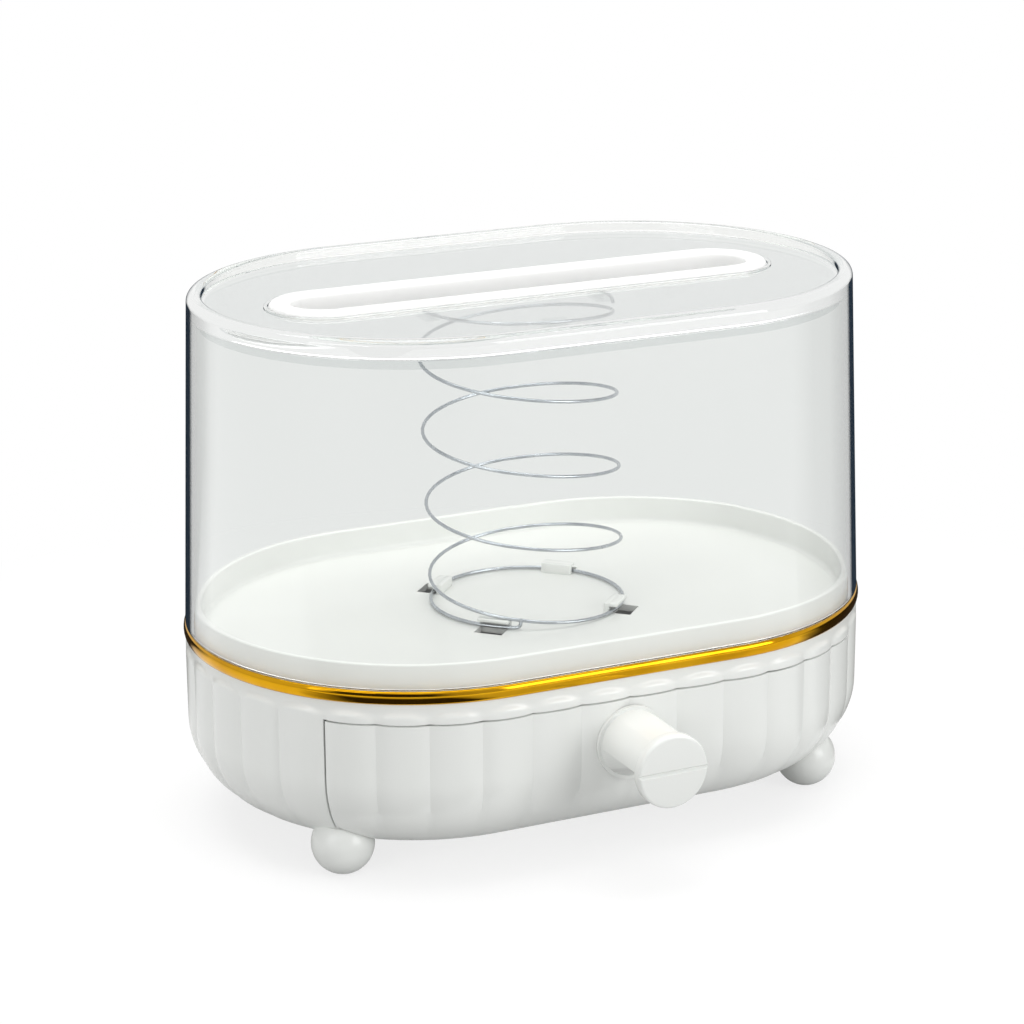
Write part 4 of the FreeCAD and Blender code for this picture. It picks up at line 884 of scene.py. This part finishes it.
def lit_white(tree):
    """White for the camera, a little less through clear plastic, and nothing for scattered light,
    which comes from the air and the softboxes. Gives the light and its share."""
    path = add_node(tree, "ShaderNodeLightPath")
    tone = add_node(tree, "ShaderNodeMapRange", {
        "Value": path.outputs["Is Camera Ray"], "To Min": SWEEP_SEEN_THROUGH, "To Max": 1.0})
    clear = add_node(tree, "ShaderNodeMath", {
        0: path.outputs["Is Camera Ray"], 1: path.outputs["Is Transmission Ray"]}, operation="MAXIMUM")
    deep = add_node(tree, "ShaderNodeMath", {0: path.outputs["Ray Depth"], 1: 1.5}, operation="GREATER_THAN")
    seen = add_node(tree, "ShaderNodeMath", {
        0: clear.outputs["Value"], 1: deep.outputs["Value"]}, operation="MAXIMUM")
    straight = add_node(tree, "ShaderNodeMath", {
        0: path.outputs["Is Diffuse Ray"], 1: 0.5}, operation="LESS_THAN")
    share = add_node(tree, "ShaderNodeMath", {
        0: seen.outputs["Value"], 1: straight.outputs["Value"]}, operation="MULTIPLY")
    return tone.outputs["Result"], share.outputs["Value"]


mesh = bmesh.new()
bmesh.ops.create_grid(mesh, x_segments=1, y_segments=1, size=6.0)
floor = new_piece("floor", mesh)
# White paper: matt, with a faint grain. Light that is scattered from it is weaker than what
# the camera sees, so that the part's underside stays darker than its sides.
paper, tree = new_material("white paper")
place = add_node(tree, "ShaderNodeTexCoord").outputs["Object"]
grain = add_node(tree, "ShaderNodeTexNoise", {"Vector": place, "Scale": 1 / (30 * MM), "Detail": 2.0})
tone = add_node(tree, "ShaderNodeValToRGB", {"Fac": grain.outputs["Fac"]}, stops=[
    (0.3, hex_colour("#F8F8F8")), (0.7, hex_colour("#FBFBFB"))])
bounced = add_node(tree, "ShaderNodeMapRange", {
    "Value": add_node(tree, "ShaderNodeLightPath").outputs["Is Diffuse Ray"], "To Min": 1.0, "To Max": 0.48})
shade = add_node(tree, "ShaderNodeHueSaturation", {
    "Color": tone.outputs["Color"], "Value": bounced.outputs["Result"]})
surface = add_node(tree, "ShaderNodeBsdfPrincipled", {
    "Base Color": shade.outputs["Color"], "Roughness": 0.9, "Specular IOR Level": 0.2})
sweep_tone, sweep_share = lit_white(tree)
sweep = add_node(tree, "ShaderNodeEmission", {"Strength": sweep_tone})
spread = add_node(tree, "ShaderNodeVectorMath", {0: place}, operation="LENGTH")
far_off = add_node(tree, "ShaderNodeMapRange", {
    "Value": spread.outputs["Value"], "From Min": 0.1, "From Max": 0.32, "To Min": 0.74})
share = add_node(tree, "ShaderNodeMath", {0: far_off.outputs["Result"], 1: sweep_share}, operation="MULTIPLY")
both = add_node(tree, "ShaderNodeMixShader", {
    "Fac": share.outputs["Value"], 1: surface.outputs["BSDF"], 2: sweep.outputs["Emission"]})
add_node(tree, "ShaderNodeOutputMaterial", {"Surface": both.outputs["Shader"]})
floor.data.materials.append(paper)

world = bpy.data.worlds.new("studio air")
world.use_nodes = True
tree = world.node_tree
tree.nodes.clear()
seen_tone, seen_share = lit_white(tree)
strength = add_node(tree, "ShaderNodeMix", {"Factor": seen_share, "A": 0.6, "B": seen_tone})
air = add_node(tree, "ShaderNodeBackground", {
    "Color": (1.0, 1.0, 1.0, 1.0), "Strength": strength.outputs["Result"]})
add_node(tree, "ShaderNodeOutputWorld", {"Surface": air.outputs["Background"]})
bpy.context.scene.world = world


def softbox(name, place, aim, width, height, power):
    """A rectangular lamp at a place, turned to a point."""
    light = bpy.data.lights.new(name, "AREA")
    light.shape = "RECTANGLE"
    light.size, light.size_y = width, height
    light.energy = power
    lamp = bpy.data.objects.new(name, light)
    bpy.context.scene.collection.objects.link(lamp)
    lamp.location = place
    lamp.rotation_euler = (Vector(aim) - Vector(place)).to_track_quat("-Z", "Y").to_euler()


softbox("softbox_above", (0.0, 0.15, 1.5), (0.0, 0.0, 0.05), 1.4, 1.2, 16.0)
softbox("softbox_right", (0.75, -1.25, 0.5), (0.0, 0.0, 0.08), 0.8, 0.7, 8.6)
softbox("softbox_left", (-1.15, -0.6, 0.55), (0.0, 0.0, 0.08), 0.7, 0.7, 3.6)


# Black card: gives the gold band its dark streaks. Only first reflections see it.
black_card, tree = new_material("black card")
fibre = add_node(tree, "ShaderNodeTexNoise", {"Scale": 1 / (4 * MM)})
tone = add_node(tree, "ShaderNodeValToRGB", {"Fac": fibre.outputs["Fac"]}, stops=[
    (0.3, hex_colour("#2A2622")), (0.7, hex_colour("#35302B"))])
surface = add_node(tree, "ShaderNodeBsdfDiffuse", {"Color": tone.outputs["Color"]})
nothing = add_node(tree, "ShaderNodeBsdfTransparent")
first = add_node(tree, "ShaderNodeMath", {
    0: add_node(tree, "ShaderNodeLightPath").outputs["Ray Depth"], 1: 1.5}, operation="LESS_THAN")
strength = add_node(tree, "ShaderNodeAttribute", attribute_name="card_strength")
share = add_node(tree, "ShaderNodeMath", {
    0: strength.outputs["Fac"], 1: first.outputs["Value"]}, operation="MULTIPLY")
both = add_node(tree, "ShaderNodeMixShader", {
    "Fac": share.outputs["Value"], 1: nothing.outputs["BSDF"], 2: surface.outputs["BSDF"]})
add_node(tree, "ShaderNodeOutputMaterial", {"Surface": both.outputs["Shader"]})


def round_about(name, turns, rows):
    """A black card bent round the holder, which only first reflections see. It goes through
    (turn from the front, strength) stations and (out, height, share) rows, and fades with both."""
    mesh = bmesh.new()
    layer = mesh.verts.layers.float.new("card_strength")
    columns = []
    for turn, strength in turns:
        angle = math.radians(turn)
        columns.append([])
        for out, height, share in rows:
            vert = mesh.verts.new((-out * math.sin(angle), -out * math.cos(angle), height))
            vert[layer] = strength * share
            columns[-1].append(vert)
    for left, right in zip(columns, columns[1:]):
        for k in range(len(rows) - 1):
            mesh.faces.new((left[k], right[k], right[k + 1], left[k + 1]))
    card = new_piece(name, mesh, black_card)
    card.visible_camera = card.visible_diffuse = card.visible_shadow = card.visible_transmission = False


AT_CAMERA = [(-45, 0), (-33, 0.3), (-10, 0.35), (10, 0.4), (20, 1), (62, 1), (80, 0)]
round_about("flag_at_camera", AT_CAMERA, [(0.75, 0.055, 1), (0.8, 0.42, 1)])
round_about("flag_on_floor", AT_CAMERA, [(0.1, 0.001, 1), (0.26, 0.001, 1), (0.55, 0.001, 0)])
round_about("flag_behind", [(130, 0)] + [(turn, 1) for turn in range(145, 286, 10)] + [(300, 0)],
            [(0.118, 0.001, 1), (0.55, 0.001, 1), (0.6, 0.09, 1)])

# Camera. A long lens, a little above the holder and to the left of its front.
LENS, SENSOR = 104.77, 36.0
CAMERA_AIM = Vector((-0.00472, 0.0136, 0.09125))
CAMERA_DISTANCE = 0.932
AZIMUTH, ELEVATION, ROLL = math.radians(-24.981), math.radians(17.112), math.radians(-0.349)
camera_data = bpy.data.cameras.new("camera")
camera_data.lens = LENS
camera_data.sensor_width = SENSOR
camera = bpy.data.objects.new("camera", camera_data)
bpy.context.scene.collection.objects.link(camera)
level = math.cos(ELEVATION)
away = Vector((math.sin(AZIMUTH) * level, -math.cos(AZIMUTH) * level, math.sin(ELEVATION)))
camera.location = CAMERA_AIM + away * CAMERA_DISTANCE
turn = (-away).to_track_quat("-Z", "Y").to_matrix() @ Matrix.Rotation(ROLL, 3, "Z")
camera.rotation_euler = turn.to_euler()
bpy.context.scene.camera = camera
bpy.context.scene.view_settings.view_transform = "Standard"
